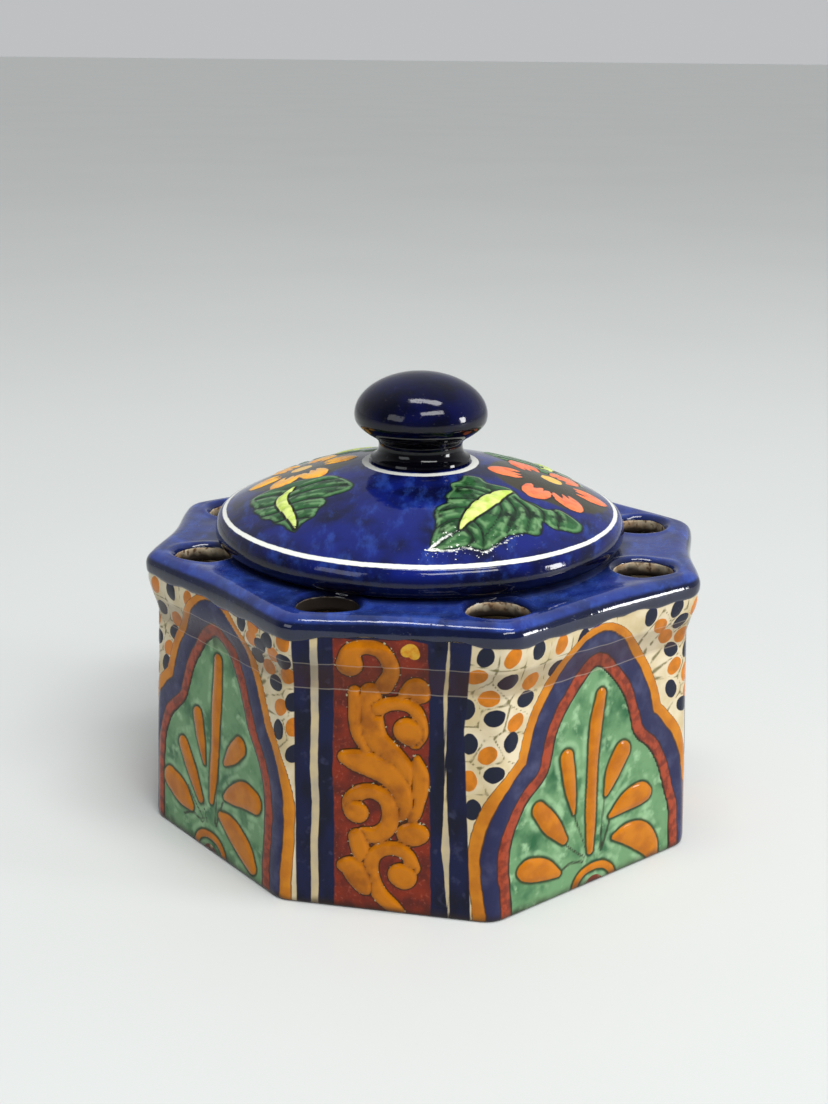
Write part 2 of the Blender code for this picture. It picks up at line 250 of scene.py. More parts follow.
# Ochre scroll, lowest stroke first: points (across, up, half width).
SCROLL = [
    [(-8, 69.3, 3.3), (-7.4, 73, 2.3), (-4.1, 74.5, 1.8), (-0.1, 73.7, 1.9), (2.2, 70.5, 2), (2.6, 67, 2),
     (0.9, 63.6, 2.2)],
    [(6.2, 61.4, 1.6), (9, 63.2, 2.8), (10.4, 61.8, 2.3)],
    [(-6.8, 61.4, 1.6), (-6.6, 57.5, 1.7), (-6.5, 54, 1.7), (-5.6, 50, 1.8), (-3.4, 46.6, 1.7),
     (-1, 44.6, 1.2)],
    [(-2.8, 61.6, 2.4), (-2.4, 58.5, 2.7), (-2.2, 54, 2.8), (-1, 49, 2.9), (2.6, 45.2, 2.8),
     (6, 41.5, 2.4), (7.3, 37.8, 1.9), (7.6, 34, 1.5), (7, 29, 0.9)],
    [(-0.8, 57.2, 1.8), (2, 58.6, 1.7), (5.5, 58.9, 1.6), (8.6, 57.6, 1.6), (10.2, 54.6, 1.6),
     (10.4, 51, 1.7), (9, 48.6, 1.7)],
    [(6.7, 51.7, 3.3), (7.6, 51.2, 3.4)],
    [(9.6, 44.2, 0.8), (10.4, 40, 2.1), (10.6, 36, 2), (10, 32, 1.6), (9.2, 28.5, 1.4), (8.2, 27, 0.6)],
    [(-9.3, 43.4, 1.8), (-6.1, 42.6, 2.9), (-2.1, 41.5, 3.3), (1.9, 39.5, 3.1), (4.7, 36.5, 2.7),
     (6.2, 33, 2.3), (6.6, 29.5, 1.6), (5.9, 27.5, 0.8)],
    [(-7.6, 29, 2.2), (-7.6, 31.4, 2.1), (-5.1, 33.8, 2), (-1.6, 34.2, 1.9), (1.6, 32.3, 2),
     (2.8, 28.5, 2.1), (2.1, 24.6, 2.2), (-0.6, 22.2, 2.2), (-4.6, 21.8, 1.9)],
    [(-6.6, 28.4, 2.9), (-6, 28, 2.9)],
    [(7.4, 23, 2.8), (8.8, 23.1, 3.2), (10.3, 23.3, 2.7)],
    [(-6.1, 21, 2.2), (-5.1, 17.5, 2.4), (-3.6, 14.5, 2)],
    [(6.4, -1, 1.6), (3.9, 1.8, 1.9), (0.4, 5, 2.1), (-1.5, 8.5, 2), (-2.3, 12.5, 1.9), (-1.6, 16, 1.8),
     (1, 18.2, 1.8), (4.6, 18.6, 1.8), (7.6, 16.9, 1.7), (9, 13.6, 1.8)],
    [(5.6, 11.2, 3.2), (6.5, 10.8, 3.4)],
    [(-9.8, 12.5, 1.6), (-7.6, 12.2, 2.8), (-5.9, 9.8, 3), (-4.3, 7, 2.2), (-3.4, 5.6, 1)],
]
SCROLL_SPREAD = 0.3
SCROLL_FLOWER = [(6.6, 73.6, 1.5), (7.8, 74.1, 1.7), (8.6, 73, 1.5)]

# The lid's painting in plan, from the lid's axis: the bouquet to the right, then the one to the left.
RIGHT_LEAF = [
    (7.8, -50.8), (8, -46), (8.6, -41), (7.6, -37), (8.2, -33.4), (10.6, -30.6), (9.8, -27.4),
    (11.2, -23.4), (10.6, -19.8), (13, -17), (14, -13), (18.2, -12.6), (20.6, -15.4), (27, -15.4),
    (30, -19.6), (34, -20.4), (37, -21.4), (40.8, -18.6), (45.6, -20.2), (47.4, -22.2), (45.8, -26.8),
    (42.2, -28.2), (39.6, -29.6), (36.6, -28.4), (36.4, -32), (35.4, -35.4), (31.8, -36.4), (29.6, -38.2),
    (27.6, -39.4), (25.6, -43.2), (22, -47.2), (17.6, -47.2), (12.6, -49.6),
]
RIGHT_RIB = [
    (15, -41.4, 0.2), (16.4, -37, 1.2), (19.4, -30.4, 2.2), (22.4, -24.4, 2.1), (25, -20, 1.4),
    (27.2, -17.6, 0.5),
]
RIGHT_VEINS = [
    [(24.4, -25), (25.2, -31), (21.4, -43.4)], [(26.6, -22.4), (29, -28), (27.4, -38.4)],
    [(28.6, -20.6), (32.6, -26), (32.6, -35.6)], [(30.6, -20), (36.2, -23), (36.8, -29.6)],
    [(33, -19.6), (40, -21), (40.8, -28.4)], [(22.6, -22), (17, -20.8), (12, -21.4)],
    [(20.6, -26.6), (16, -26.8), (10.4, -28.6)], [(18.6, -31), (13.6, -32), (8.6, -35)],
    [(16.8, -36.2), (12.6, -38), (8.6, -42.4)], [(15.4, -41), (12, -45.4), (8.6, -50)],
    [(16.4, -40.6), (18.6, -44), (17.2, -47.6)], [(18.4, -37), (20.8, -40.4), (21.6, -46.8)],
]
LEFT_LEAF = [
    (-29.8, -40.8), (-32.2, -38.4), (-33.8, -36), (-36.4, -34), (-37.8, -31.8), (-40.8, -29.4),
    (-42, -26.8), (-44.4, -23.4), (-44.8, -20.4), (-46.8, -16.8), (-46.4, -12.6), (-40, -10.4),
    (-32, -10.6), (-24.6, -12), (-20.4, -15.6), (-16.8, -20.4), (-17, -23.6), (-19.4, -25.4),
    (-23.8, -26.6), (-23, -29.4), (-24.8, -32.6), (-25.4, -35.4), (-28.2, -37.6),
]
LEFT_RIB = [
    (-29.8, -39.3, 0.2), (-31, -35.6, 0.8), (-33.8, -29.4, 1.3), (-36.2, -24.4, 1.5), (-36.6, -20, 1.3),
    (-34.4, -15.6, 0.4),
]
LEFT_VEINS = [
    [(-36.8, -18.8), (-40.6, -16.4), (-45.6, -15)], [(-36.6, -23.4), (-40.4, -23.2), (-44.2, -21.8)],
    [(-34.6, -28), (-38, -28.8), (-41.4, -28)], [(-32.4, -32.6), (-35, -33.8), (-37.4, -33.2)],
    [(-35, -17.6), (-27.6, -15.4), (-21.8, -15.4)], [(-35.2, -21.6), (-27, -20), (-17.6, -21.4)],
    [(-34, -26), (-28.6, -25.4), (-23.4, -26.4)], [(-32.4, -30.4), (-28.4, -30.4), (-24, -31.4)],
    [(-31, -34.6), (-28.6, -35), (-26.2, -35.6)],
]
# Flowers: centre, reach of the petals, their half width, and the direction of each in degrees.
RIGHT_FLOWER = ((37, 0.5), 18, 4.1, (-168, -104, -60, 12, 68, 128))
LEFT_FLOWER = ((-35, 3), 16.4, 3.7, (-167, -110, -62, 9, 66, 128))
RIGHT_HEART = (38, 4.6)
LEFT_HEART = (-35.5, 4)
# A petal's parts: points (aside as a share of its half width, outwards, half width).
PETAL_CRESCENT = [
    (-0.6, -7.2, 0.4), (-0.64, -4.8, 1.3), (-0.46, -1.8, 1.9), (0, -0.2, 2.2), (0.46, -1.8, 1.9),
    (0.64, -4.8, 1.3), (0.6, -7.2, 0.4),
]
PETAL_TOOTH = [(0, -1.4, 1.9), (0.06, -4.2, 1.3), (0.12, -7.4, 0.3)]
LID_RING_RADIUS = 56.7
NECK_RING_RADIUS = 15.9
# White marks along the right leaf's lower edge and at its tip: worn glaze, and a painted highlight on the
# raised edge.
WEAR_GLINT_EDGE = [
    (7.6, -50.6, 0.35), (12.4, -50, 0.3), (17.6, -47.8, 0.3), (22.2, -47.6, 0.25), (25.8, -43.4, 0.15),
    (29.6, -38.8, 0.1),
]
WEAR_GLINT_TIP = [(7.8, -50.2, 0.3), (11, -46, 0.3), (14.2, -42.2, 0.1)]

# Glaze and clay colours, as sRGB.
CREAM = (208, 195, 166)
CREAM_SHADE = (190, 172, 132)
LATTICE = (112, 104, 70)
NAVY_DOT = (22, 26, 44)
ORANGE_DOT = (198, 116, 22)
BAND_ORANGE = (192, 120, 24)
BAND_OCHRE = (172, 102, 20)
BAND_NAVY = (36, 38, 72)
BAND_SLATE = (64, 66, 98)
BAND_RED = (150, 62, 36)
BAND_RUST = (112, 44, 28)
COPPER = (100, 140, 98)
COPPER_DARK = (36, 88, 54)
COPPER_PALE = (140, 176, 134)
PETAL_ORANGE = (184, 109, 8)
PETAL_DEEP = (164, 92, 8)
HALO_GREEN = (30, 56, 34)
HALO_OLIVE = (52, 62, 26)
DARK_LINE = (34, 30, 18)
COVE_SHADE = (66, 38, 24)
CREASE_HIGHLIGHT = (176, 164, 148)
FOOT_GRIME_AND_SHADOW = (38, 26, 18)
PANEL_RED = (122, 40, 20)
PANEL_DARK = (84, 30, 22)
PANEL_PINK = (160, 84, 62)
OCHRE = (180, 106, 8)
OCHRE_DEEP = (142, 78, 10)
OCHRE_LINE = (58, 34, 14)
SPECK = (178, 172, 140)
FLOWER_GOLD = (196, 152, 46)
STRIPE_BLUE = (15, 21, 56)
STRIPE_DARK = (10, 12, 30)
STRIPE_GREY = (160, 150, 132)
COBALT = (15, 28, 104)
COBALT_DEEP = (8, 12, 48)
COBALT_SHADOW = (3, 4, 16)
COBALT_LIGHT = (44, 74, 160)
COBALT_RIM_SHEEN = (52, 76, 150)
COBALT_WASH = (96, 118, 176)
RIM_SIDE_SHADE = (7, 11, 30)
KNOB_BLUE = (5, 8, 50)
KNOB_DEEP = (4, 5, 22)
KNOB_SHADOW = (2, 2, 8)
LEAF_GREEN = (42, 88, 48)
LEAF_DARK = (16, 36, 22)
LEAF_PALE = (110, 150, 102)
LEAF_EDGE = (12, 20, 24)
VEIN = (12, 24, 16)
RIB_LIME = (212, 226, 132)
RIB_DEEP = (176, 200, 84)
RIB_EDGE = (20, 26, 20)
CORAL = (234, 124, 78)
CORAL_DEEP = (214, 86, 52)
GOLD = (244, 180, 60)
GOLD_DEEP = (226, 136, 44)
PETAL_EDGE = (30, 26, 24)
YELLOW = (236, 196, 84)
OLIVE = (50, 46, 30)
WHITE = (226, 228, 220)
CLAY = (176, 142, 104)
CLAY_PALE = (208, 190, 156)
CLAY_LIGHT = (222, 208, 178)
CLAY_DARK = (110, 80, 54)
CLAY_SHADE = (34, 25, 18)
TIN_GLAZE = (196, 184, 156)
TIN_THIN = (160, 134, 100)
TIN_SPECK = (104, 80, 58)
FLOOR_TONES = ((205, 208, 206), (203, 206, 204))
# Greys that stand for roughness.
GLOSSY = (70, 70, 70)
MATT = (225, 225, 225)


# ---------------------------------------------------------------- geometry of the octagon


def apothem(face):
    """Distance from the axis to a flat; face 0 looks along +X and they go round to +Y."""
    if face % 2:
        return ARCH_APOTHEM
    return SIDE_APOTHEM if face % 4 == 0 else FRONT_APOTHEM


def facing(face, z):
    """Angle of a flat's outward direction at a height."""
    askew = FOOT_TWIST_DEG * (1 - min(z / SEAM_Z, 1)) if face % 4 == 2 else 0.0
    return face * math.tau / FACES + math.radians(askew)


def direction(angle):
    """Unit vectors at one angle or several."""
    return np.stack([np.cos(angle), np.sin(angle)], -1)


def corner_centre(face, inset, z):
    """Where the lines parallel to a flat and the next one, moved in by inset, cross."""
    a, b = direction(facing(face, z)), direction(facing(face + 1, z))
    reach_a, reach_b = apothem(face) - inset, apothem(face + 1) - inset
    twist = a[0] * b[1] - a[1] * b[0]
    return np.array([reach_a * b[1] - reach_b * a[1], reach_b * a[0] - reach_a * b[0]]) / twist


def outline(offset, z, dip=0.0, flat_steps=FLAT_STEPS, corner_steps=CORNER_STEPS):
    """Ring of points round the octagon, moved out by offset; dip draws each flat's middle in."""
    radius = max(CORNER_RADIUS + offset, 1.5)
    centres = [corner_centre(face, radius - offset, z) for face in range(FACES)]
    share = np.arange(flat_steps)[:, None] / flat_steps
    turn = np.arange(corner_steps) / corner_steps
    ring = []
    for face in range(FACES):
        out = direction(facing(face, z))
        begin, end = centres[face - 1] + radius * out, centres[face] + radius * out
        ring.append(begin + (end - begin) * share - out * dip * np.sin(math.pi * share) ** 2)
        start, stop = facing(face, z), facing(face + 1, z)
        ring.append(centres[face] + radius * direction(start + (stop - start) * turn))
    flat = np.concatenate(ring)
    return np.column_stack([flat, np.full(len(flat), float(z))])


def rim_dip(z):
    """The flats are straight up to the waist and dip in more and more above it."""
    return RIM_DIP * max(0.0, (z - WAIST_Z) / (RIM_Z - WAIST_Z))


def wall_offset(z):
    """How far the wall's outside stands off the nominal octagon: a lean, then a flare."""
    if z < FOOT_BEVEL:
        return -0.8 * FOOT_BEVEL * (1 - z / FOOT_BEVEL) ** 2
    lean = WAIST_INSET * min(z / WAIST_Z, 1.0)
    flare = min(max(z - COVE_Z, 0.0) / COVE_HEIGHT, 1.0)
    over = min(max(z - COVE_Z - COVE_HEIGHT, 0.0) / (SEAM_Z - COVE_Z - COVE_HEIGHT), 1.0)
    return -lean * (1 + math.cos(math.pi * flare)) / 2 + WALL_FLARE * over


def dome_height(radius, thickness=0.0):
    """Height of the lid's sphere at a distance from the lid's axis."""
    return DOME_CENTRE_Z + np.sqrt((DOME_RADIUS - thickness) ** 2 - np.square(radius))


def quarter(centre, radii, start_deg, end_deg, steps):
    """Points (radius, z) along an elliptical arc of a turned profile."""
    angles = np.radians(np.linspace(start_deg, end_deg, steps + 1))
    return [(centre[0] + radii[0] * math.cos(a), centre[1] + radii[1] * math.sin(a)) for a in angles]


# ---------------------------------------------------------------- brush strokes as distances


def smooth_path(points, pieces=10):
    """Samples of the smooth curve through given points, whatever their columns."""
    knots = np.array(points, float)
    if len(knots) == 2:
        return knots[0] + (knots[1] - knots[0]) * np.linspace(0, 1, pieces + 1)[:, None]
    knots = np.vstack([2 * knots[0] - knots[1], knots, 2 * knots[-1] - knots[-2]])
    share = np.linspace(0, 1, pieces, endpoint=False)[:, None]
    runs = []
    for a, b, c, d in zip(knots, knots[1:], knots[2:], knots[3:]):
        bend = (2 * a - 5 * b + 4 * c - d) * share**2 + (3 * b - a - 3 * c + d) * share**3
        runs.append(b + 0.5 * ((c - a) * share + bend))
    return np.vstack([*runs, knots[-2]])


def stroke_distance(across, up, stroke):
    """Signed distance to a brush stroke given as points (across, up, half width)."""
    nearest = np.full(across.shape, FAR)
    for x, y, half in smooth_path(stroke):
        np.minimum(nearest, np.hypot(across - x, up - y) - half, out=nearest)
    return nearest


def strokes_distance(across, up, strokes):
    """Signed distance to the nearest of several strokes."""
    return np.minimum.reduce([stroke_distance(across, up, stroke) for stroke in strokes])


def thin_strokes(lines):
    """Lines of points (across, up) as the thinnest brush strokes."""
    return [[(x, y, THIN_HALF) for x, y in line] for line in lines]


def stacked_distance(across, up, strokes):
    """Depth inside whichever stroke lies on top, or the distance to the nearest one outside."""
    top = np.full(across.shape, FAR)
    for stroke in strokes:
        distance = stroke_distance(across, up, stroke) - SCROLL_SPREAD
        covered = (distance > 0) & (top < 0)
        top = np.where(distance < 0, distance, np.where(covered, top, np.minimum(top, distance)))
    return top


def region_distance(across, up, edge):
    """Signed distance to a closed region whose smooth edge passes through the given points."""
    corners = np.array(edge)
    inside = np.zeros(across.shape, bool)
    nearest = np.full(across.shape, FAR)
    for (x0, y0), (x1, y1) in zip(corners, np.roll(corners, -1, 0)):
        dx, dy = x1 - x0, y1 - y0
        share = np.clip(((across - x0) * dx + (up - y0) * dy) / (dx * dx + dy * dy + 1e-9), 0, 1)
        np.minimum(nearest, np.hypot(across - x0 - share * dx, up - y0 - share * dy), out=nearest)
        crosses = (y0 > up) != (y1 > up)
        inside ^= crosses & (across < x0 + (up - y0) * dx / (dy if abs(dy) > 1e-9 else 1e-9))
    return np.where(inside, -nearest, nearest)


def dot_distance(across, up, dot):
    """Signed distance to an oval dab of the brush, long way round at its tilt."""
    x, y, _, tilt = dot
    turn = math.radians(tilt)
    along = (across - x) * math.cos(turn) + (up - y) * math.sin(turn)
    aside = (up - y) * math.cos(turn) - (across - x) * math.sin(turn)
    # The factor turns a share of the dab's size into about a millimetre.
    return (np.hypot(along / DOT_HALF_LENGTH, aside / DOT_HALF_WIDTH) - 1) * 2.4


def smooth_step(value, low, high):
    """0 below low, 1 above high, smooth between; low may be above high."""
    share = np.clip((value - low) / (high - low), 0, 1)
    return share * share * (3 - 2 * share)


def ridge(value, level, width):
    """A rounded hump of height 1 along a level of a distance."""
    return np.exp(-(((value - level) / width) ** 2))


def unevenness(points, size, seed):
    """Gentle random waves over points, between about -1 and 1, with bumps of a given size."""
    shift = Vector((seed * 7.3, seed * 3.1, seed * 5.7))
    waves = [noise.noise(Vector(p) / size + shift) for p in points.reshape(-1, 3)]
    return np.reshape(waves, points.shape[:-1])


# ---------------------------------------------------------------- meshes from rings


def ring_faces(rows, size, first=0):
    """Quads between neighbouring rings of equal size."""
    low = first + np.arange(rows - 1)[:, None] * size + np.arange(size)
    ahead = np.where((low - first) % size == size - 1, low - size + 1, low + 1)
    return np.stack([low, ahead, ahead + size, low + size], -1).reshape(-1, 4)


def tube_faces(rows, size):
    """Faces of a ring-shaped body: its last ring closes on its first."""
    last = (rows - 1) * size
    shut = [(last + i, last + (i + 1) % size, (i + 1) % size, i) for i in range(size)]
    return [*ring_faces(rows, size), *shut]


def capped_faces(rows, size):
    """Faces of a solid that has a flat face on its first ring and on its last."""
    last = (rows - 1) * size
    ends = [tuple(range(size))[::-1], tuple(range(last, last + size))]
    return [*ring_faces(rows, size), *ends]


def make_piece(name, points, faces, materials, paint=None):
    """A named, smooth-shaded piece in metres that keeps its painted distances at its points."""
    mesh = bpy.data.meshes.new(name)
    mesh.from_pydata((np.asarray(points) * MM).tolist(), [], [tuple(int(i) for i in f) for f in faces])
    mesh.shade_smooth()
    mesh.set_sharp_from_angle(angle=math.radians(SMOOTH_DEG))
    for material in materials:
        mesh.materials.append(material)
    for key, values in (paint or {}).items():
        layer = mesh.attributes.new(key, "FLOAT", "POINT")
        layer.data.foreach_set("value", np.asarray(values, np.float32).ravel())
    piece = bpy.data.objects.new(name, mesh)
    bpy.context.scene.collection.objects.link(piece)
    return piece


def use_second_material(piece, faces):
    """Gives some faces of a piece, by number, its second material."""
    slots = np.zeros(len(piece.data.polygons), np.int32)
    slots[faces] = 1
    piece.data.polygons.foreach_set("material_index", slots)


def turned_rings(profile, steps):
    """Rings of a profile of (radius, z) about the lid's axis."""
    around = direction(np.arange(steps) * math.tau / steps)
    rings = [np.column_stack([radius * around, np.full(steps, z)]) for radius, z in profile]
    return np.array(rings) + (LID_SHIFT, 0.0, 0.0)


# ---------------------------------------------------------------- glazes


def linear(colour):
    """An sRGB colour of 0 to 255 as the linear RGBA that shaders take."""
    share = np.array(colour) / 255
    return (*np.where(share < 0.04045, share / 12.92, ((share + 0.055) / 1.055) ** 2.4), 1.0)


class Glaze:
    """One node-built material. Its methods return sockets, and its lengths are millimetres."""

    def __init__(self, name):
        self.material = bpy.data.materials.new(name)
        self.material.use_nodes = True
        self.tree = self.material.node_tree
        self.shader = self.tree.nodes["Principled BSDF"]
        metres = self.node("ShaderNodeTexCoord").outputs["Object"]
        scaled = self.node("ShaderNodeVectorMath", metres, operation="SCALE")
        scaled.inputs["Scale"].default_value = 1 / MM
        self.place = scaled.outputs[0]

    def node(self, kind, *values, **settings):
        """A new node with its settings made and its first inputs fed."""
        made = self.tree.nodes.new(kind)
        for key, value in settings.items():
            setattr(made, key, value)
        for socket, value in zip(made.inputs, values):
            self.feed(socket, value)
        return made

    def feed(self, socket, value):
        """Links a socket or sets a plain value."""
        if isinstance(value, bpy.types.NodeSocket):
            self.tree.links.new(value, socket)
        elif value is not None:
            socket.default_value = value

    def painted(self, name):
        """A distance kept at the mesh's points."""
        return self.node("ShaderNodeAttribute", attribute_name=name).outputs["Fac"]

    def maths(self, operation, *values):
        """One arithmetic step."""
        return self.node("ShaderNodeMath", *values, operation=operation).outputs[0]

    def grain(self, size, detail=2.0, rough=0.5, stretch=None, seed=0.0):
        """Noise from 0 to 1 whose blotches have the given size."""
        place = self.place
        if stretch or seed:
            place = self.node("ShaderNodeMapping", place)
            place.inputs["Location"].default_value = (seed * 31.0, seed * 17.0, seed * 11.0)
            place.inputs["Scale"].default_value = stretch or (1, 1, 1)
            place = place.outputs[0]
        return self.node("ShaderNodeTexNoise", place, None, 1 / size, detail, rough).outputs[0]

    def step(self, value, low, high):
        """0 at low and 1 at high, smooth between."""
        made = self.node("ShaderNodeMapRange", value, low, high, interpolation_type="SMOOTHSTEP")
        return made.outputs[0]

    def inside(self, value, edge=0.0, soft=0.12):
        """Mask of where a distance is below an edge."""
        return self.step(value, edge + soft, edge - soft)

    def line(self, value, level, half, soft=0.1):
        """Mask of a thin line along a level of a distance."""
        away = self.maths("ABSOLUTE", self.maths("SUBTRACT", value, level))
        return self.step(away, half + soft, max(half - soft, 0.0))

    def mix(self, mask, below, above):
        """Lays one colour over another."""
        made = self.node("ShaderNodeMix", data_type="RGBA")
        for socket, value in zip((made.inputs[0], made.inputs[6], made.inputs[7]), (mask, below, above)):
            self.feed(socket, linear(value) if isinstance(value, tuple) else value)
        return made.outputs[2]

    def lay(self, below, mask, share, above):
        """Lays one colour over another, but only as much of it as a share says."""
        return self.mix(self.maths("MULTIPLY", mask, share), below, above)

    def mottle(self, colour, other, size, low=0.35, high=0.7, **grain):
        """A colour clouded with another."""
        return self.mix(self.step(self.grain(size, 3.0, **grain), low, high), colour, other)

    def shake(self, value, amount, size, seed=1.0):
        """A distance made uneven, as a hand draws it."""
        wave = self.maths("SUBTRACT", self.grain(size, seed=seed), 0.5)
        return self.maths("ADD", value, self.maths("MULTIPLY", wave, 2 * amount))

    def finish(self, colour, roughness, height, depth):
        """Connects the shader: colour, roughness, and a relief of the given depth in millimetres."""
        self.feed(self.shader.inputs["Base Color"], colour)
        self.feed(self.shader.inputs["Roughness"], roughness)
        bump = self.node("ShaderNodeBump")
        bump.inputs["Strength"].default_value = 1.0
        bump.inputs["Distance"].default_value = depth * MM
        self.feed(bump.inputs["Height"], height)
        self.feed(self.shader.inputs["Normal"], bump.outputs[0])
        return self.material

    def glassy(self, level):
        """Sets how strongly the smooth glaze mirrors its surroundings."""
        self.shader.inputs["Specular IOR Level"].default_value = level


def cobalt(glaze, light=0.5, seed=2.0):
    """Brushed cobalt: deep blue pools, royal streaks and a few pale washes."""
    colour = glaze.mottle(COBALT_DEEP, COBALT, 14.0, 0.35, 0.62, seed=seed)
    streak = glaze.grain(5.0, 4.0, 0.65, stretch=(1.0, 0.35, 1.0), seed=seed + 1)
    return glaze.lay(colour, glaze.step(streak, 0.48, 0.72), light, COBALT_LIGHT)


def glaze_height(glaze):
    """Fine orange peel with a few pinholes."""
    peel = glaze.grain(2.2, 2.0, seed=5.0)
    pits = glaze.step(glaze.grain(0.7, 1.0, seed=6.0), 0.30, 0.24)
    return glaze.maths("SUBTRACT", peel, glaze.maths("MULTIPLY", pits, 0.8))


def make_wall_glaze():
    """The painted wall: dots on cream, banded arches with their fans, and the scroll panels."""
    g = Glaze("wall_glaze")
    arch = g.shake(g.painted("arch"), 0.16, 5.0)
    petal = g.shake(g.painted("petal"), 0.16, 3.0, seed=2.0)
    colour = g.mottle(CREAM, CREAM_SHADE, 8.0)
    broken = g.step(g.grain(3.0, seed=3.0), 0.36, 0.5)
    colour = g.lay(colour, g.line(g.painted("cell"), 0.0, 0.42, 0.3), broken, LATTICE)
    orange = g.mottle(ORANGE_DOT, BAND_OCHRE, 3.0)
    colour = g.mix(g.inside(g.shake(g.painted("orange_dot"), 0.3, 2.5)), colour, orange)
    colour = g.mix(g.inside(g.shake(g.painted("navy_dot"), 0.3, 2.5, 4.0)), colour, NAVY_DOT)
    bands = (
        (3.0, g.mottle(BAND_ORANGE, BAND_OCHRE, 6.0)),
        (2.0, g.mottle(BAND_NAVY, BAND_SLATE, 7.0, 0.45, 0.75)),
        (1.0, g.mottle(BAND_RED, BAND_RUST, 2.4, 0.4, 0.65)),
    )
    for edge, paint in bands:
        colour = g.mix(g.inside(arch, edge, 0.06), colour, paint)
        colour = g.lay(colour, g.line(arch, edge, 0.05, 0.05), 0.75, DARK_LINE)
    green = g.mottle(COPPER, COPPER_DARK, 9.0, 0.42, 0.74, seed=6.0)
    green = g.mix(g.step(g.grain(4.0, 3.0, seed=7.0), 0.52, 0.76), green, COPPER_PALE)
    brushed = g.maths("MULTIPLY", g.line(petal, 1.6, 0.7, 0.7), g.step(g.grain(5.0, seed=10.0), 0.4, 0.65))
    green = g.lay(green, brushed, 0.7, COPPER_PALE)
    green = g.lay(green, g.inside(g.painted("fan_line"), 0.3, 0.25), 0.85, DARK_LINE)
    colour = g.mix(g.inside(arch, 0.0, 0.1), colour, green)
    colour = g.mix(g.line(arch, 0.0, 0.14, 0.12), colour, DARK_LINE)
    halo = g.mix(g.step(g.grain(2.5, seed=9.0), 0.4, 0.6), HALO_GREEN, HALO_OLIVE)
    colour = g.mix(g.inside(petal, 0.65, 0.4), colour, halo)
    colour = g.mix(g.inside(petal, -0.08, 0.22), colour, g.mottle(PETAL_ORANGE, PETAL_DEEP, 5.0))
    colour = g.mix(g.inside(g.painted("fan_core")), colour, g.mottle(BAND_RUST, CREAM_SHADE, 3.0, 0.5, 0.8))
    colour = paint_scroll(g, colour)
    height = g.painted("height")
    # Painted shade in the cove under the rim, and a painted highlight line along each of its edges.
    colour = g.lay(colour, g.painted("cove"), 0.34, COVE_SHADE)
    crease_highlights = [g.line(g.shake(height, 0.5, 9.0), z, 0.12, 0.14) for z in CREASES]
    colour = g.lay(colour, g.maths("MAXIMUM", *crease_highlights), 0.35, CREASE_HIGHLIGHT)
    # Darker along the foot: grime, and painted contact shadow where the jar meets the floor.
    colour = g.lay(colour, g.inside(g.shake(height, 1.6, 6.0), 1.6, 1.4), 0.75, FOOT_GRIME_AND_SHADOW)
    colour = g.mix(g.inside(g.shake(g.painted("drip"), 0.3, 3.0), 0.0, 0.25), colour, cobalt(g))
    g.glassy(0.2)
    rough = g.maths("MULTIPLY_ADD", g.grain(9.0, seed=8.0), 0.14, 0.05)
    return g.finish(colour, rough, glaze_height(g), 0.05)


def paint_scroll(g, colour):
    """The scroll face: blue borders with a cream stripe each, and the red panel with its scroll."""
    zone = g.shake(g.painted("zone"), 0.2, 6.0)
    blue = g.mottle(STRIPE_BLUE, STRIPE_DARK, 6.0, stretch=(1.0, 1.0, 0.4))
    blue = g.lay(blue, g.step(g.grain(3.0, seed=4.0), 0.6, 0.8), 0.4, BAND_SLATE)
    colour = g.mix(g.inside(zone, 0.0, 0.2), colour, blue)
    stripe = g.mottle(CREAM_SHADE, STRIPE_GREY, 9.0)
    colour = g.mix(g.inside(g.shake(g.painted("stripe"), 0.18, 4.0), 0.0, 0.15), colour, stripe)
    panel = g.shake(g.painted("panel"), 0.3, 3.0)
    red = g.mottle(PANEL_RED, PANEL_DARK, 5.0)
    red = g.lay(red, g.step(g.grain(0.9, 3.0, seed=5.0), 0.55, 0.75), 0.4, PANEL_PINK)
    colour = g.mix(g.inside(panel, 0.0, 0.2), colour, red)
    scroll = g.painted("scroll")
    ochre = g.mottle(OCHRE, OCHRE_DEEP, 6.0, 0.4, 0.75)
    ochre = g.lay(ochre, g.step(scroll, -0.9, -0.1), 0.35, OCHRE_DEEP)
    on_panel = g.inside(panel, 0.4, 0.3)
    colour = g.lay(colour, g.inside(scroll, 0.2, 0.16), on_panel, OCHRE_LINE)
    colour = g.lay(colour, g.inside(scroll, -0.16, 0.14), on_panel, ochre)
    flecks = g.step(g.grain(1.1, 2.0, seed=9.0), 0.64, 0.70)
    specks = g.maths("MULTIPLY", g.line(scroll, 0.0, 0.35, 0.2), flecks)
    colour = g.lay(colour, g.maths("MULTIPLY", specks, on_panel), 0.75, SPECK)
    return g.mix(g.inside(g.painted("flower")), colour, g.mottle(FLOWER_GOLD, OCHRE, 2.0))


def make_clay():
    """Bare fired clay: matt, sandy, blotched with slip."""
    g = Glaze("bare_clay")
    colour = g.mottle(CLAY, CLAY_PALE, 7.0, 0.4, 0.7, seed=1.0)
    colour = g.mix(g.step(g.grain(1.6, 3.0, seed=2.0), 0.58, 0.72), colour, CLAY_DARK)
    height = g.maths("ADD", g.grain(0.8, 3.0, 0.7, seed=1.0), g.grain(4.0, 2.0, seed=3.0))
    return g.finish(colour, g.maths("MULTIPLY_ADD", g.grain(2.0), 0.2, 0.7), height, 0.25)


def make_inner_glaze():
    """Thin tin glaze on the inside of the pot and the lid: off-white with the clay showing through."""
    g = Glaze("inner_glaze")
    colour = g.mottle(TIN_GLAZE, TIN_THIN, 10.0, 0.4, 0.75)
    colour = g.mix(g.step(g.grain(1.2, 2.0, seed=3.0), 0.66, 0.76), colour, TIN_SPECK)
    return g.finish(colour, g.maths("MULTIPLY_ADD", g.grain(5.0), 0.3, 0.3), glaze_height(g), 0.1)


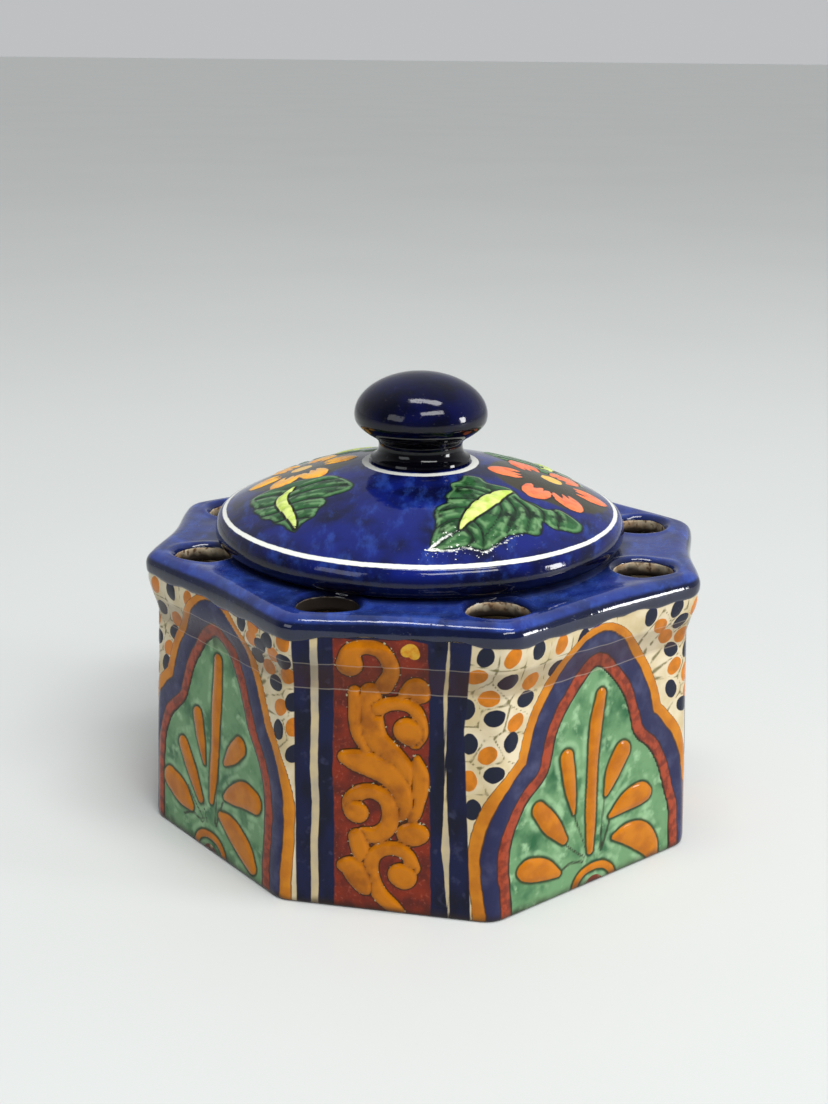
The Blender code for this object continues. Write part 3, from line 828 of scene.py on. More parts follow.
def make_deck_glaze():
    """Cobalt over the deck and rim; the hole walls and the underside stay bare clay."""
    g = Glaze("deck_glaze")
    colour = cobalt(g, 0.8, seed=3.0)
    # Lighter blue in random patches over the deck: partly thin glaze, partly a painted sheen of the bright
    # surroundings.
    thin_and_sheen = g.maths("MULTIPLY_ADD", g.grain(6.0, 3.0, seed=8.0), 1.1, -0.2)
    colour = g.mix(thin_and_sheen, colour, COBALT_RIM_SHEEN)
    thin = g.step(g.grain(2.6, 4.0, 0.7, seed=4.0), 0.60, 0.74)
    colour = g.lay(colour, thin, 0.35, COBALT_WASH)
    colour = g.lay(colour, g.inside(g.painted("lip"), 1.1, 0.7), 0.6, COBALT_DEEP)
    clay = g.mottle(CLAY_LIGHT, CLAY, 4.0)
    clay = g.mix(g.step(g.grain(1.5, 3.0, seed=2.0), 0.52, 0.68), clay, CLAY_DARK)
    # Painted shade on the bare hole walls, darker deeper down, and darkest in the hole under the lid.
    clay = g.mix(g.step(g.shake(g.painted("depth"), 0.25, 3.0), 0.1, 0.75), clay, CLAY_SHADE)
    # Painted shadow of the lid's overhang on the deck round the mouth.
    near = g.step(g.shake(g.painted("reach"), 1.2, 5.0), *MOUTH_SHADE)
    colour = g.lay(colour, near, 0.8, COBALT_SHADOW)
    # Painted shade on the rim's outer side, darker than its top.
    side = g.step(g.shake(g.painted("height"), 0.15, 4.0), *RIM_SHADE)
    colour = g.lay(colour, side, 0.9, RIM_SIDE_SHADE)
    bare = g.inside(g.shake(g.painted("bare"), 0.8, 2.5), 0.0, 0.3)
    colour = g.mix(bare, colour, clay)
    g.glassy(0.6)
    rough = g.mix(bare, GLOSSY, MATT)
    height = g.maths("ADD", glaze_height(g), g.maths("MULTIPLY", bare, g.grain(1.0, 3.0, 0.7)))
    return g.finish(colour, rough, height, 0.06)


def make_lid_glaze():
    """Cobalt lid with the two bouquets, and the white lines round its edge and its neck."""
    g = Glaze("lid_glaze")
    colour = cobalt(g, 0.5, seed=6.0)
    # Painted shade, near black, on the lid's rounded edge below the white line.
    colour = g.lay(colour, g.step(g.painted("height"), *LID_SHADE), 0.85, COBALT_SHADOW)
    colour = g.mix(g.inside(g.shake(g.painted("ground"), 0.8, 4.0), 0.0, 0.8), colour, OLIVE)
    leaf = g.shake(g.painted("leaf"), 0.35, 2.2)
    vein = g.painted("vein")
    green = g.mottle(LEAF_GREEN, LEAF_DARK, 5.0, 0.42, 0.7)
    pale = g.maths("MULTIPLY", g.line(vein, 1.5, 0.5, 0.5), g.step(g.grain(3.0, 2.0, seed=7.0), 0.4, 0.6))
    green = g.lay(green, pale, 0.75, LEAF_PALE)
    green = g.lay(green, g.line(leaf, -0.8, 0.35, 0.3), 0.5, LEAF_PALE)
    green = g.mix(g.inside(vein, 0.25, 0.3), green, VEIN)
    colour = g.mix(g.inside(leaf, 0.4, 0.4), colour, LEAF_EDGE)
    colour = g.mix(g.inside(leaf, -0.1, 0.2), colour, green)
    rib = g.painted("rib")
    colour = g.mix(g.inside(rib, 0.7, 0.2), colour, RIB_EDGE)
    colour = g.mix(g.inside(rib, 0.0, 0.15), colour, g.mottle(RIB_LIME, RIB_DEEP, 3.0))
    for name, paint, deep in (("coral", CORAL, CORAL_DEEP), ("gold", GOLD, GOLD_DEEP)):
        petal = g.shake(g.painted(name), 0.4, 2.2)
        colour = g.mix(g.inside(petal, 0.45, 0.25), colour, PETAL_EDGE)
        colour = g.mix(g.inside(petal, 0.0, 0.2), colour, g.mottle(paint, deep, 3.0, 0.45, 0.8))
    colour = g.mix(g.inside(g.shake(g.painted("heart"), 0.5, 2.0)), colour, g.mottle(YELLOW, GOLD, 2.0))
    # White along the right leaf's lower edge: worn glaze and a painted highlight, with a spatter round it.
    wear_and_glint = g.painted("wear_and_glint")
    white_marks = g.inside(g.shake(wear_and_glint, 0.5, 1.2), 0.0, 0.2)
    spatter = g.maths("MULTIPLY_ADD", wear_and_glint, -0.035, g.grain(0.9, 2.0, seed=3.0))
    colour = g.mix(g.maths("MAXIMUM", white_marks, g.step(spatter, 0.62, 0.66)), colour, WHITE)
    colour = g.mix(g.inside(g.shake(g.painted("ring"), 0.16, 1.5), 0.0, 0.14), colour, WHITE)
    colour = g.mix(g.inside(g.painted("bare"), 0.0, 0.3), colour, g.mottle(CLAY_PALE, CLAY, 5.0))
    g.glassy(0.4)
    return g.finish(colour, g.maths("MULTIPLY_ADD", g.grain(6.0), 0.08, 0.03), glaze_height(g), 0.04)


def make_knob_glaze():
    """Very dark cobalt, pooled thick and glossy, with painted shade that makes it almost black under the
    head.
    """
    g = Glaze("knob_glaze")
    colour = g.mottle(KNOB_BLUE, KNOB_DEEP, 9.0)
    # Painted shade under the knob's head.
    colour = g.mix(g.step(g.painted("height"), *KNOB_SHADE), colour, KNOB_SHADOW)
    streak = g.step(g.grain(4.0, 3.0, stretch=(1.0, 1.0, 0.4)), 0.6, 0.8)
    colour = g.lay(colour, streak, 0.25, COBALT)
    g.glassy(0.34)
    return g.finish(colour, g.maths("MULTIPLY_ADD", g.grain(6.0), 0.06, 0.05), glaze_height(g), 0.04)


# ---------------------------------------------------------------- the pot


def wall_places(rings):
    """How far round the pot each point of each ring is, where each flat's middle is, and the girth."""
    gaps = np.linalg.norm(np.roll(rings, -1, 1) - rings, axis=2)
    along = np.cumsum(gaps, 1) - gaps
    size = FLAT_STEPS + CORNER_STEPS
    middles = []
    for face in range(FACES):
        first = face * size
        right = direction(facing(face, SEAM_Z) + math.pi / 2)
        middles.append(along[:, first] - rings[:, first, :2] @ right)
    return along, np.stack(middles, 1), gaps.sum(1)


def nearest_across(along, middles, total):
    """Distance to the right of the nearest of several middles, and which one it is."""
    girth = total[:, None, None]
    away = (along[:, :, None] - middles[:, None] + girth / 2) % girth - girth / 2
    which = np.abs(away).argmin(2)
    return np.take_along_axis(away, which[:, :, None], 2)[:, :, 0], which


def banded(distance, z):
    """Distance outside the arch counted in bands: 0 to 1 red, 1 to 2 navy, 2 to 3 orange."""
    inner = np.zeros_like(distance)
    value = np.minimum(distance, 0.0)
    for width in BAND_WIDTHS:
        wide = np.interp(z, BAND_HEIGHTS, width)
        value = value + np.clip((distance - inner) / wide, 0.0, 1.0)
        inner = inner + wide
    return value + np.maximum(distance - inner, 0.0)


def arch_paint(across, z, face):
    """Painted distances of an arch face at points across and up it; one face is drawn narrower."""
    narrow = face == NARROW_FACE
    edge = NARROW_ARCH_EDGE if narrow else ARCH_EDGE
    dots = LEFT_DOTS + (NARROW_RIGHT_DOTS if narrow else RIGHT_DOTS)
    fan = across - (NARROW_FAN_SHIFT if narrow else 0.0)
    reach = [dot_distance(across, z, dot) for dot in dots]
    nearest = np.sort(np.array([np.hypot(across - dot[0], z - dot[1]) for dot in dots]), 0)
    petals = strokes_distance(across, z, NARROW_PETALS if narrow else PETALS)
    return {
        "arch": banded(region_distance(across, z, smooth_path(edge, 6)), z),
        "petal": np.minimum(petals, stroke_distance(fan, z, FAN_RING)),
        "fan_line": strokes_distance(fan, z, thin_strokes(FAN_LINES)),
        "fan_core": np.hypot(fan - 0.4, (z + 1.0) * 1.1) - 3.6,
        "navy_dot": np.minimum.reduce([d for d, dot in zip(reach, dots) if dot[2] == 0]),
        "orange_dot": np.minimum.reduce([d for d, dot in zip(reach, dots) if dot[2] == 1]),
        "cell": nearest[1] - nearest[0],
    }


def scroll_paint(across, z):
    """Painted distances of a scroll face: its borders, stripes, panel and scroll."""
    sway = 0.35 * np.sin(z / 9.0) + 0.2 * np.sin(z / 3.7)
    left = np.abs(across - np.interp(z, *LEFT_STRIPE) - 0.5 * sway) - LEFT_STRIPE_HALF
    right = np.abs(across - np.interp(z, *RIGHT_STRIPE)) - np.interp(z, *RIGHT_STRIPE_HALF)
    panel_sides = [
        PANEL_LEFT - across + 0.5 * sway,
        across - np.interp(z, *PANEL_RIGHT) - 0.3 * sway,
        z - PANEL_TOP_Z - 0.5 * np.sin(across / 2.6),
    ]
    return {
        "zone": np.maximum(SCROLL_LEFT - across, across - np.interp(z, *SCROLL_RIGHT)),
        "stripe": np.minimum(left, right),
        "panel": np.maximum.reduce(panel_sides),
        "scroll": stacked_distance(across, z, SCROLL),
        "flower": stroke_distance(across, z, SCROLL_FLOWER),
    }


def drip_height(points):
    """Height of the lower edge of the rim's blue glaze; it hangs lower over the arches."""
    turn = np.arctan2(points[..., 1], points[..., 0])
    waves = 0.35 * np.sin(17 * turn) + 0.3 * np.sin(41 * turn + 1.0) + 0.3 * np.sin(7 * turn)
    return DRIP_Z + 0.7 * np.cos(4 * turn) + waves


def wall_paint(points):
    """Every painted distance of the wall's outside, for rings of points."""
    z = points[:, :, 2]
    along, middles, total = wall_places(points)
    middles += np.array(MOTIF_SLIPS)
    from_scroll, _ = nearest_across(along, middles[:, 0::2], total)
    from_arch, which = nearest_across(along, middles[:, 1::2], total)
    paint = scroll_paint(from_scroll, z)
    for index in range(FACES // 2):
        mine = which == index
        for key, values in arch_paint(from_arch[mine], z[mine], 2 * index + 1).items():
            paint.setdefault(key, np.full(z.shape, FAR))[mine] = values
    paint["height"] = z
    paint["drip"] = drip_height(points) - z
    low, high = CREASES
    paint["cove"] = smooth_step(z, low - 0.4, low + 0.6) * smooth_step(z, high + 0.4, high - 0.8)
    return paint


def wall_relief(paint):
    """How far the paint and the moulding stand out of the wall."""
    z, arch, petal, scroll, panel = (paint[key] for key in ("height", "arch", "petal", "scroll", "panel"))
    raised = 0.62 * smooth_step(scroll, 0.2, -1.0) - 0.2 * ridge(scroll, 0.0, 0.35)
    border = 0.3 * smooth_step(panel, 0.0, 1.0) * smooth_step(paint["zone"], 0.2, -0.8)
    on_scroll = raised * smooth_step(panel, 0.4, -0.5) + border
    fan = 0.45 * smooth_step(petal, 0.3, -1.6) - 0.14 * ridge(petal, 0.3, 0.5)
    groove = sum(ridge(arch, edge, 0.13) for edge in (0, 1, 2, 3))
    band = 0.22 * smooth_step(arch, -0.6, 0.2) * smooth_step(arch, 3.2, 2.9) - 0.16 * groove
    dots = 0.12 * smooth_step(np.minimum(paint["navy_dot"], paint["orange_dot"]), 0.3, -0.8)
    on_arch = fan * (arch < 0) + band + dots * (arch > 3)
    height = np.where(paint["zone"] > 0, on_arch, on_scroll)
    return height * smooth_step(z, 0.5, 2.5) * smooth_step(z, 76.5, 74.0)


def make_wall(glaze, inner):
    """Eight-sided painted wall with its relief, and its plain inside."""
    foot = [0.0, 0.3 * FOOT_BEVEL, 0.6 * FOOT_BEVEL]
    heights = foot + list(np.linspace(FOOT_BEVEL, SEAM_Z, WALL_ROWS))
    outside = np.array([outline(wall_offset(z) - PAINT_ROOM, z, rim_dip(z)) for z in heights])
    paint = wall_paint(outside)
    outward = outside[:, :, :2] / np.linalg.norm(outside[:, :, :2], axis=2, keepdims=True)
    waves = 0.16 * unevenness(outside, 14.0, 1) * smooth_step(outside[:, :, 2], 0, 8)
    outside[:, :, :2] += outward * (wall_relief(paint) + waves)[:, :, None]
    inside = []
    for z in np.linspace(SEAM_Z, 0.0, WALL_INSIDE_ROWS):
        lean = np.interp(z, (0.0, WAIST_Z, SEAM_Z), (0.0, WAIST_INSET, 0.0))
        inside.append(outline(-WALL - lean, z, rim_dip(z)))
    points = np.concatenate([outside, np.array(inside)])
    rows, size = points.shape[:2]
    spare = np.zeros((len(inside), size))
    paint = {key: np.concatenate([values, spare]) for key, values in paint.items()}
    wall = make_piece("wall_glazed", points.reshape(-1, 3), tube_faces(rows, size), [glaze, inner], paint)
    use_second_material(wall, slice((len(heights) - 1) * size, None))
    return wall


def make_base(clay):
    """Flat floor inside the wall, filling the potter's joint all round it."""
    section = ((0.6, 0.1), (0.06, 0.6), (0.24, BASE_THICKNESS - 1.0), (1.4, BASE_THICKNESS))
    rings = [outline(-WALL - inset, z, **BASE_STEPS) for inset, z in section]
    edge = rings[-1]
    for share in (0.8, 0.6, 0.4, 0.2):
        inner = edge * (share, share, 1.0)
        inner[:, 2] += 0.25 * unevenness(inner, 20.0, 3)
        rings.append(inner)
    return make_piece("base_floor", np.concatenate(rings), capped_faces(len(rings), len(edge)), [clay])


def hole_centre(index):
    """Middle of one tool hole, set in from its corner along the corner's radius."""
    corner = corner_centre(index, 0.0, SEAM_Z)
    reach = np.linalg.norm(corner) - HOLE_INSET
    return reach * direction(math.atan2(corner[1], corner[0]) + math.radians(HOLE_SLIPS_DEG[index]))


def sector_patch(index, outer, inner_radius, steps):
    """Points from a tool hole's edge out to the edge of its sector of the deck, in plan.

    Outer is the deck's edge ring. The sector reaches from the middle of one flat to the middle
    of the next, and in to a circle. Points are spread evenly in angle and radius, so that they
    never leave the sector.
    """
    size = len(outer) // FACES
    first = index * size + DECK_STEPS["flat_steps"] // 2
    picks = [(first + i) % len(outer) for i in range(size + 1)]
    centre = hole_centre(index)
    base = math.atan2(centre[1], centre[0])
    angles = np.arctan2(outer[picks, 1], outer[picks, 0]) - base
    angles = (angles + math.pi) % math.tau - math.pi
    reach = np.linalg.norm(outer[picks, :2], axis=1)
    share = np.arange(1, SECTOR_STEPS) / SECTOR_STEPS
    level = np.ones_like(share)
    edge = np.concatenate([
        np.column_stack([angles, reach]),
        np.column_stack([angles[-1] * level, reach[-1] + (inner_radius - reach[-1]) * share]),
        np.column_stack([angles, np.full(len(angles), inner_radius)])[::-1],
        np.column_stack([angles[0] * level, inner_radius + (reach[0] - inner_radius) * share]),
    ])
    middle = np.linalg.norm(centre)
    around = np.arctan2(edge[:, 0] * middle, edge[:, 1] - middle)
    hole = np.array([middle, 0.0]) + HOLE_RADIUS * direction(around)
    hole = np.column_stack([np.arctan2(hole[:, 1], hole[:, 0]), np.hypot(hole[:, 0], hole[:, 1])])
    shares = np.linspace(0, 1, steps + 1)[:, None, None] ** 1.7
    polar = hole + (edge - hole) * shares
    return polar[:, :, 1:] * direction(polar[:, :, 0] + base)


def deck_height(plan, crest):
    """Height of the deck's top at points of a plan: it dishes down inside the rim's crest."""
    angle = np.arctan2(plan[..., 1], plan[..., 0])
    order = np.argsort(np.arctan2(crest[:, 1], crest[:, 0]))
    known = np.arctan2(crest[order, 1], crest[order, 0])
    reach = np.interp(angle, known, np.linalg.norm(crest[order, :2], axis=1), period=math.tau)
    # Straight in from a flat is a little shorter than along the radius.
    inset = (reach - np.hypot(plan[..., 0], plan[..., 1])) * 0.96
    return DECK_Z + (RIM_Z - DECK_Z) * smooth_step(inset, DISH_WIDTH, 0.0)


def deck_patch(index, crest):
    """The deck's top round one tool hole, with its waves and the glaze's thick lip at the hole."""
    top = sector_patch(index, crest, COLLAR_FOOT, 18)
    away = np.linalg.norm(top - hole_centre(index), axis=-1) - HOLE_RADIUS
    lip = 0.22 * ridge(away, 1.9, 0.9) - 0.9 * np.clip(1 - away / 1.5, 0, 1) ** 2
    upper = np.dstack([top, deck_height(top, crest)])
    waves = 0.14 * unevenness(upper, 8.0, 4) * np.clip(away, 0, 1)
    last = len(top) - 1
    fade = smooth_step(np.arange(len(top)), last, last - 4)[:, None]
    upper[:, :, 2] += (lip + waves) * fade
    return upper


def throat_rings(crest, under_edge):
    """Rings over the collar and down the mouth to the underside, and how bare each of them is."""
    section = (
        (COLLAR_FOOT, DECK_Z, 3.0), (COLLAR_RADIUS + 0.2, DECK_Z + 0.1, 3.0),
        (COLLAR_RADIUS, COLLAR_Z - 0.2, 2.0), (COLLAR_RADIUS - 0.3, COLLAR_Z, 1.0),
        (MOUTH_RADIUS + 0.7, COLLAR_Z, -1.0), (MOUTH_RADIUS, COLLAR_Z - 0.7, -2.0),
        (MOUTH_RADIUS, 78.0, -3.0), (MOUTH_RADIUS, DECK_UNDER_Z, -3.0),
    )
    above, below = (direction(np.arctan2(ring[:, 1], ring[:, 0])) for ring in (crest, under_edge))
    rings = [np.column_stack([radius * above, np.full(len(above), z)]) for radius, z, _ in section]
    rings[-1][:, :2] = MOUTH_RADIUS * below
    return rings, [bare for _, _, bare in section]


def make_deck(glaze):
    """Dished, rimmed top with eight tool holes, a collared mouth, and glaze run over its edge."""
    crest = outline(-RIM_CREST, RIM_Z, RIM_DIP, **DECK_STEPS)
    under_edge = outline(-PLUG_INSET, DECK_UNDER_Z, **DECK_STEPS)
    rings, bare = deck_edge_rings()
    builder = DeckMesh()
    builder.rings(rings[::-1], bare[::-1])
    for index in range(FACES):
        below = sector_patch(index, under_edge, MOUTH_RADIUS, 5)
        below = np.dstack([below, np.full(below.shape[:2], DECK_UNDER_Z)])
        # The hole under the lid's overhang gets more painted shadow.
        shadow_share = HOLE_SHADOW if index == SHADOWED_HOLE else 0.0
        builder.hole(deck_patch(index, crest), below, hole_centre(index), shadow_share)
    builder.rings(*throat_rings(crest, under_edge))
    return builder.piece("deck_glazed", glaze)


def deck_edge_rings():
    """Rings from the crest over the rim, down the glaze's skirt and in along the seat, and how bare."""
    radii = (RIM_CREST + RIM_FLARE - 0.04, RIM_Z - RIM_FOOT_Z)
    rim = quarter((-RIM_CREST, RIM_FOOT_Z), radii, 90, 0, 12)
    rings = [outline(offset, z, rim_dip(z), **DECK_STEPS) for offset, z in rim]
    for share, proud in ((0.35, 0.14), (0.7, 0.12), (0.93, 0.05), (1.0, -0.14)):
        ring = outline(proud, SEAM_Z, rim_dip(SEAM_Z), **DECK_STEPS)
        level = RIM_FOOT_Z + (drip_height(ring) - RIM_FOOT_Z) * share
        offsets = np.array([wall_offset(z) for z in level])
        outward = ring[:, :2] / np.linalg.norm(ring[:, :2], axis=1, keepdims=True)
        ring[:, :2] += outward * offsets[:, None]
        ring[:, 2] = level
        rings.append(ring)
    dip = rim_dip(SEAM_Z)
    seat = ((-0.1, SEAM_Z + 0.15, dip), (-WALL - 0.3, SEAT_Z, dip), (-PLUG_INSET, DECK_UNDER_Z, 0.0))
    bare = [4.0] * len(rings) + [-3.0] * len(seat)
    rings += [outline(*ring, **DECK_STEPS) for ring in seat]
    return rings, bare


class DeckMesh:
    """Gathers the deck's rings and sector patches, then welds them into one closed mesh."""

    def __init__(self):
        self.points = np.empty((0, 3))
        self.faces = []
        self.paint = {"bare": [], "lip": [], "depth": []}

    def add(self, points, bare, lip, depth=0.0, turned_over=False):
        """Adds one sheet of closed rings with its painted values."""
        rows, size = points.shape[:2]
        faces = ring_faces(rows, size, len(self.points))
        self.faces.extend(faces[:, ::-1] if turned_over else faces)
        self.points = np.concatenate([self.points, points.reshape(-1, 3)])
        for key, values in (("bare", bare), ("lip", lip), ("depth", depth)):
            self.paint[key].append(np.broadcast_to(values, (rows, size)).ravel())

    def rings(self, rings, bare):
        """A run of closed rings, ordered so that its faces look out."""
        self.add(np.array(rings), np.array(bare)[:, None], FAR)

    def hole(self, upper, below, centre, shadow_share):
        """The top round one tool hole, the hole's bare wall, and the underside round it."""
        away = np.linalg.norm(upper[:, :, :2] - centre, axis=-1) - HOLE_RADIUS
        self.add(upper, away + 0.6, away, turned_over=True)
        rim, foot = upper[0], below[0]
        wall = np.array([rim + (foot - rim) * share for share in (0.0, 0.15, 0.4, 0.7, 1.0)])
        bulge = 0.25 * unevenness(wall[1:-1], 2.5, 6)
        wall[1:-1, :, :2] += (wall[1:-1, :, :2] - centre) / HOLE_RADIUS * bulge[:, :, None]
        depth = (DECK_Z - wall[:, :, 2]) / (DECK_Z - DECK_UNDER_Z) + shadow_share
        self.add(wall, np.array([0.6, -1.0, -3.0, -3.0, -3.0])[:, None], 0.0, depth)
        self.add(below, -FAR, FAR, 1.0)

    def piece(self, name, material):
        """Welds what was gathered into a piece."""
        paint = {key: np.concatenate(values) for key, values in self.paint.items()}
        paint["reach"] = np.hypot(self.points[:, 0], self.points[:, 1])
        paint["height"] = self.points[:, 2]
        piece = make_piece(name, self.points, self.faces, [material], paint)
        weld = piece.modifiers.new("weld", "WELD")
        weld.merge_threshold = WELD_GAP * MM
        return piece


# ---------------------------------------------------------------- the lid


def flower_petals(flower):
    """Strokes of a flower's petals: each is a crescent whose horns look at the flower's centre."""
    (x, y), reach, half, turns = flower
    petals = []
    for turn in np.radians(turns):
        out, side = direction(turn), direction(turn + math.pi / 2)
        for shape in (PETAL_CRESCENT, PETAL_TOOTH):
            stroke = []
            for aside, ahead, width in shape:
                spot = np.array([x, y]) + out * (reach - 2.5 + ahead) + side * aside * half
                stroke.append((spot[0], spot[1], width))
            petals.append(stroke)
    return petals


def bouquet_paint(x, y):
    """Painted distances of the two bouquets, which the lid also has on its far side."""
    leaves = [region_distance(x, y, smooth_path(leaf, 4)) for leaf in (RIGHT_LEAF, LEFT_LEAF)]
    return {
        "leaf": np.minimum(*leaves),
        "vein": strokes_distance(x, y, thin_strokes(RIGHT_VEINS + LEFT_VEINS)),
        "rib": strokes_distance(x, y, [RIGHT_RIB, LEFT_RIB]),
    }


def lid_paint(points):
    """Every painted distance of the lid's top."""
    x, y = points[:, :, 0] - LID_SHIFT, points[:, :, 1]
    radius = np.hypot(x, y)
    near, far = bouquet_paint(x, y), bouquet_paint(-x, -y)
    paint = {key: np.minimum(values, far[key]) for key, values in near.items()}
    flowers = (RIGHT_FLOWER, LEFT_FLOWER)
    grounds = [np.hypot(x - flower[0][0], y - flower[0][1]) - flower[1] + 1.0 for flower in flowers]
    hearts = [np.hypot(x - heart[0], y - heart[1]) - 3.1 for heart in (RIGHT_HEART, LEFT_HEART)]
    paint["coral"] = strokes_distance(x, y, flower_petals(RIGHT_FLOWER))
    paint["gold"] = strokes_distance(x, y, flower_petals(LEFT_FLOWER))
    paint["ground"] = np.minimum(*grounds)
    paint["heart"] = np.minimum(*hearts)
    paint["wear_and_glint"] = strokes_distance(x, y, [WEAR_GLINT_EDGE, WEAR_GLINT_TIP])
    # The white line round the lid's edge is widened on its front side by a painted highlight.
    ring = np.abs(radius - LID_RING_RADIUS) - 0.55 - 0.25 * smooth_step(-y / radius, 0.2, 1.0)
    paint["ring"] = np.minimum(ring, np.abs(radius - NECK_RING_RADIUS) - 1.0)
    return paint


def lid_section():
    """The lid's section as radius and height: its hollow, its rounded edge and its top."""
    inside = (10.0, 18.0, 26.0, 34.0, HOLLOW_RADIUS - 1.5)
    hollow = [(radius, dome_height(radius, DOME_WALL)) for radius in inside]
    hollow.append((HOLLOW_RADIUS, dome_height(HOLLOW_RADIUS, DOME_WALL) - 2.0))
    hollow.append((HOLLOW_RADIUS, LID_SEAT_Z))
    under = (BEAD_RADIUS - BEAD_UNDER_RADIUS, BEAD_Z - LID_SEAT_Z)
    bead = quarter((BEAD_UNDER_RADIUS, BEAD_Z), under, -90, 0, 10)
    over = (BEAD_RADIUS - DOME_EDGE_RADIUS, dome_height(DOME_EDGE_RADIUS) - BEAD_Z)
    top = quarter((DOME_EDGE_RADIUS, BEAD_Z), over, 0, 90, 8)[1:]
    radii = np.linspace(DOME_EDGE_RADIUS, KNOB_SEAT_RADIUS, LID_ROWS)[1:]
    top += [(radius, dome_height(radius)) for radius in radii]
    return hollow, bead, top


def make_lid(glaze, inner):
    """Domed lid with a rounded edge, painted in relief, hollow underneath."""
    hollow, bead, top = lid_section()
    rings = turned_rings(hollow + bead + top, LID_STEPS)
    paint = lid_paint(rings)
    lift = lid_relief(paint) + 0.12 * unevenness(rings, 11.0, 2)
    row = np.arange(len(rings))[:, None]
    first, last = len(hollow) + len(bead), len(rings) - 1
    rings[:, :, 2] += lift * smooth_step(row, first, first + 6) * smooth_step(row, last, last - 4)
    paint["height"] = rings[:, :, 2]
    paint["bare"] = np.where(row < len(hollow) + 2, -1.0, 4.0) * np.ones(LID_STEPS)
    faces = capped_faces(len(rings), LID_STEPS)
    lid = make_piece("lid_glazed", rings.reshape(-1, 3), faces, [glaze, inner], paint)
    use_second_material(lid, [*range((len(hollow) - 1) * LID_STEPS), len(faces) - 2])
    return lid


def lid_relief(paint):
    """How far the painting stands up from the dome."""
    leaf = 0.35 * smooth_step(paint["leaf"], 0.2, -1.2) * smooth_step(paint["vein"], -0.1, 1.2)
    petal = 0.4 * smooth_step(np.minimum(paint["coral"], paint["gold"]), 0.3, -1.4)
    rib = 0.4 * smooth_step(paint["rib"], 0.2, -1.0) - 0.12 * ridge(paint["rib"], 0.5, 0.4)
    return np.maximum(leaf, petal) + rib


def make_flange(clay):
    """Bare ring under the lid that drops into the mouth."""
    top = LID_SEAT_Z + 0.02
    outside = ((-0.8, FLANGE_BOTTOM_Z), (-0.2, 76.25), (0, 77), (0, 79.5), (0.1, 80.8), (0.5, top))
    inside = ((-0.35, top), (0, 80.4), (0, 77), (0.15, 76.3), (0.6, FLANGE_BOTTOM_Z))
    section = [(FLANGE_OUTER + out, z) for out, z in outside]
    section += [(FLANGE_INNER + out, z) for out, z in inside]
    rings = turned_rings(section, FLANGE_STEPS)
    return make_piece("flange_bare", rings.reshape(-1, 3), tube_faces(len(rings), FLANGE_STEPS), [clay])


def make_knob(glaze):
    """Mushroom knob: a flared foot, a waisted neck and a squat rounded head."""
    foot_z = dome_height(KNOB_SEAT_RADIUS) + 0.05
    foot = [(KNOB_SEAT_RADIUS, foot_z)]
    foot += [(KNOB_FOOT_RADIUS - inset, foot_z + up) for inset, up in ((0.3, 0.15), (0.0, 0.6), (0.2, 1.2))]
    under = smooth_path([*KNOB_UNDERSIDE, (KNOB_RADIUS, KNOB_MIDDLE_Z)], 6)
    top = quarter((0.0, KNOB_MIDDLE_Z), (KNOB_RADIUS, KNOB_TOP_Z - KNOB_MIDDLE_Z), 0, 88, 26)[1:]
    rings = turned_rings([*foot, *KNOB_NECK, *under, *top], KNOB_STEPS)
    points = rings.reshape(-1, 3)
    sway = 0.25 * unevenness(points, 16.0, 5) * smooth_step(points[:, 2], 105.5, 108.0)
    points[:, :2] += sway[:, None] * (points[:, :2] - (LID_SHIFT, 0.0)) / KNOB_RADIUS
    faces = capped_faces(len(rings), KNOB_STEPS)
    return make_piece("knob_glazed", points, faces, [glaze], {"height": points[:, 2]})


# ---------------------------------------------------------------- studio


def make_floor():
    """Plain pale floor under the jar."""
    g = Glaze("floor")
    colour = g.mottle(*FLOOR_TONES, 300.0)
    material = g.finish(colour, g.maths("MULTIPLY_ADD", g.grain(20.0), 0.1, 0.6), g.grain(2.0), 0.02)
    side = 20000.0
    points = [(-side, -side, 0), (side, -side, 0), (side, side, 0), (-side, side, 0)]
    make_piece("floor", points, [(0, 1, 2, 3)], [material])


def make_world():
    """Soft surroundings: bright behind the jar, a little dimmer overhead, dim on the near side."""
    world = bpy.data.worlds.new("studio")
    bpy.context.scene.world = world
    world.use_nodes = True
    tree = world.node_tree
    way = tree.nodes.new("ShaderNodeTexCoord")
    parts = tree.nodes.new("ShaderNodeSeparateXYZ")
    ramps = []
    for levels in ((-0.6, 0.6, WORLD_NEAR, WORLD_FAR), (0.0, 0.35, WORLD_HORIZON, WORLD_ZENITH)):
        ramp = tree.nodes.new("ShaderNodeMapRange")
        ramp.interpolation_type = "SMOOTHSTEP"
        for socket, value in zip(list(ramp.inputs)[1:5], levels):
            socket.default_value = value
        ramps.append(ramp)
    product = tree.nodes.new("ShaderNodeMath")
    product.operation = "MULTIPLY"
    background = tree.nodes["Background"]
    background.inputs["Color"].default_value = (0.96, 0.98, 1.0, 1.0)
    tree.links.new(way.outputs["Generated"], parts.inputs[0])
    for index, ramp in enumerate(ramps):
        tree.links.new(parts.outputs["YZ"[index]], ramp.inputs[0])
        tree.links.new(ramp.outputs[0], product.inputs[index])
    tree.links.new(product.outputs[0], background.inputs["Strength"])


def make_light(name, place, size, power, colour=(1.0, 1.0, 1.0), aim_at=(0, 0, 70)):
    """A soft rectangular light, aimed at the jar's middle if not said otherwise."""
    lamp = bpy.data.lights.new(name, "AREA")
    lamp.shape = "RECTANGLE"
    lamp.size, lamp.size_y = size[0] * MM, size[1] * MM
    lamp.energy = power
    lamp.color = colour
    light = bpy.data.objects.new(name, lamp)
    light.location = Vector(place) * MM
    aim = Vector(aim_at) * MM - light.location
    light.rotation_euler = aim.to_track_quat("-Z", "Y").to_euler()
    bpy.context.scene.collection.objects.link(light)


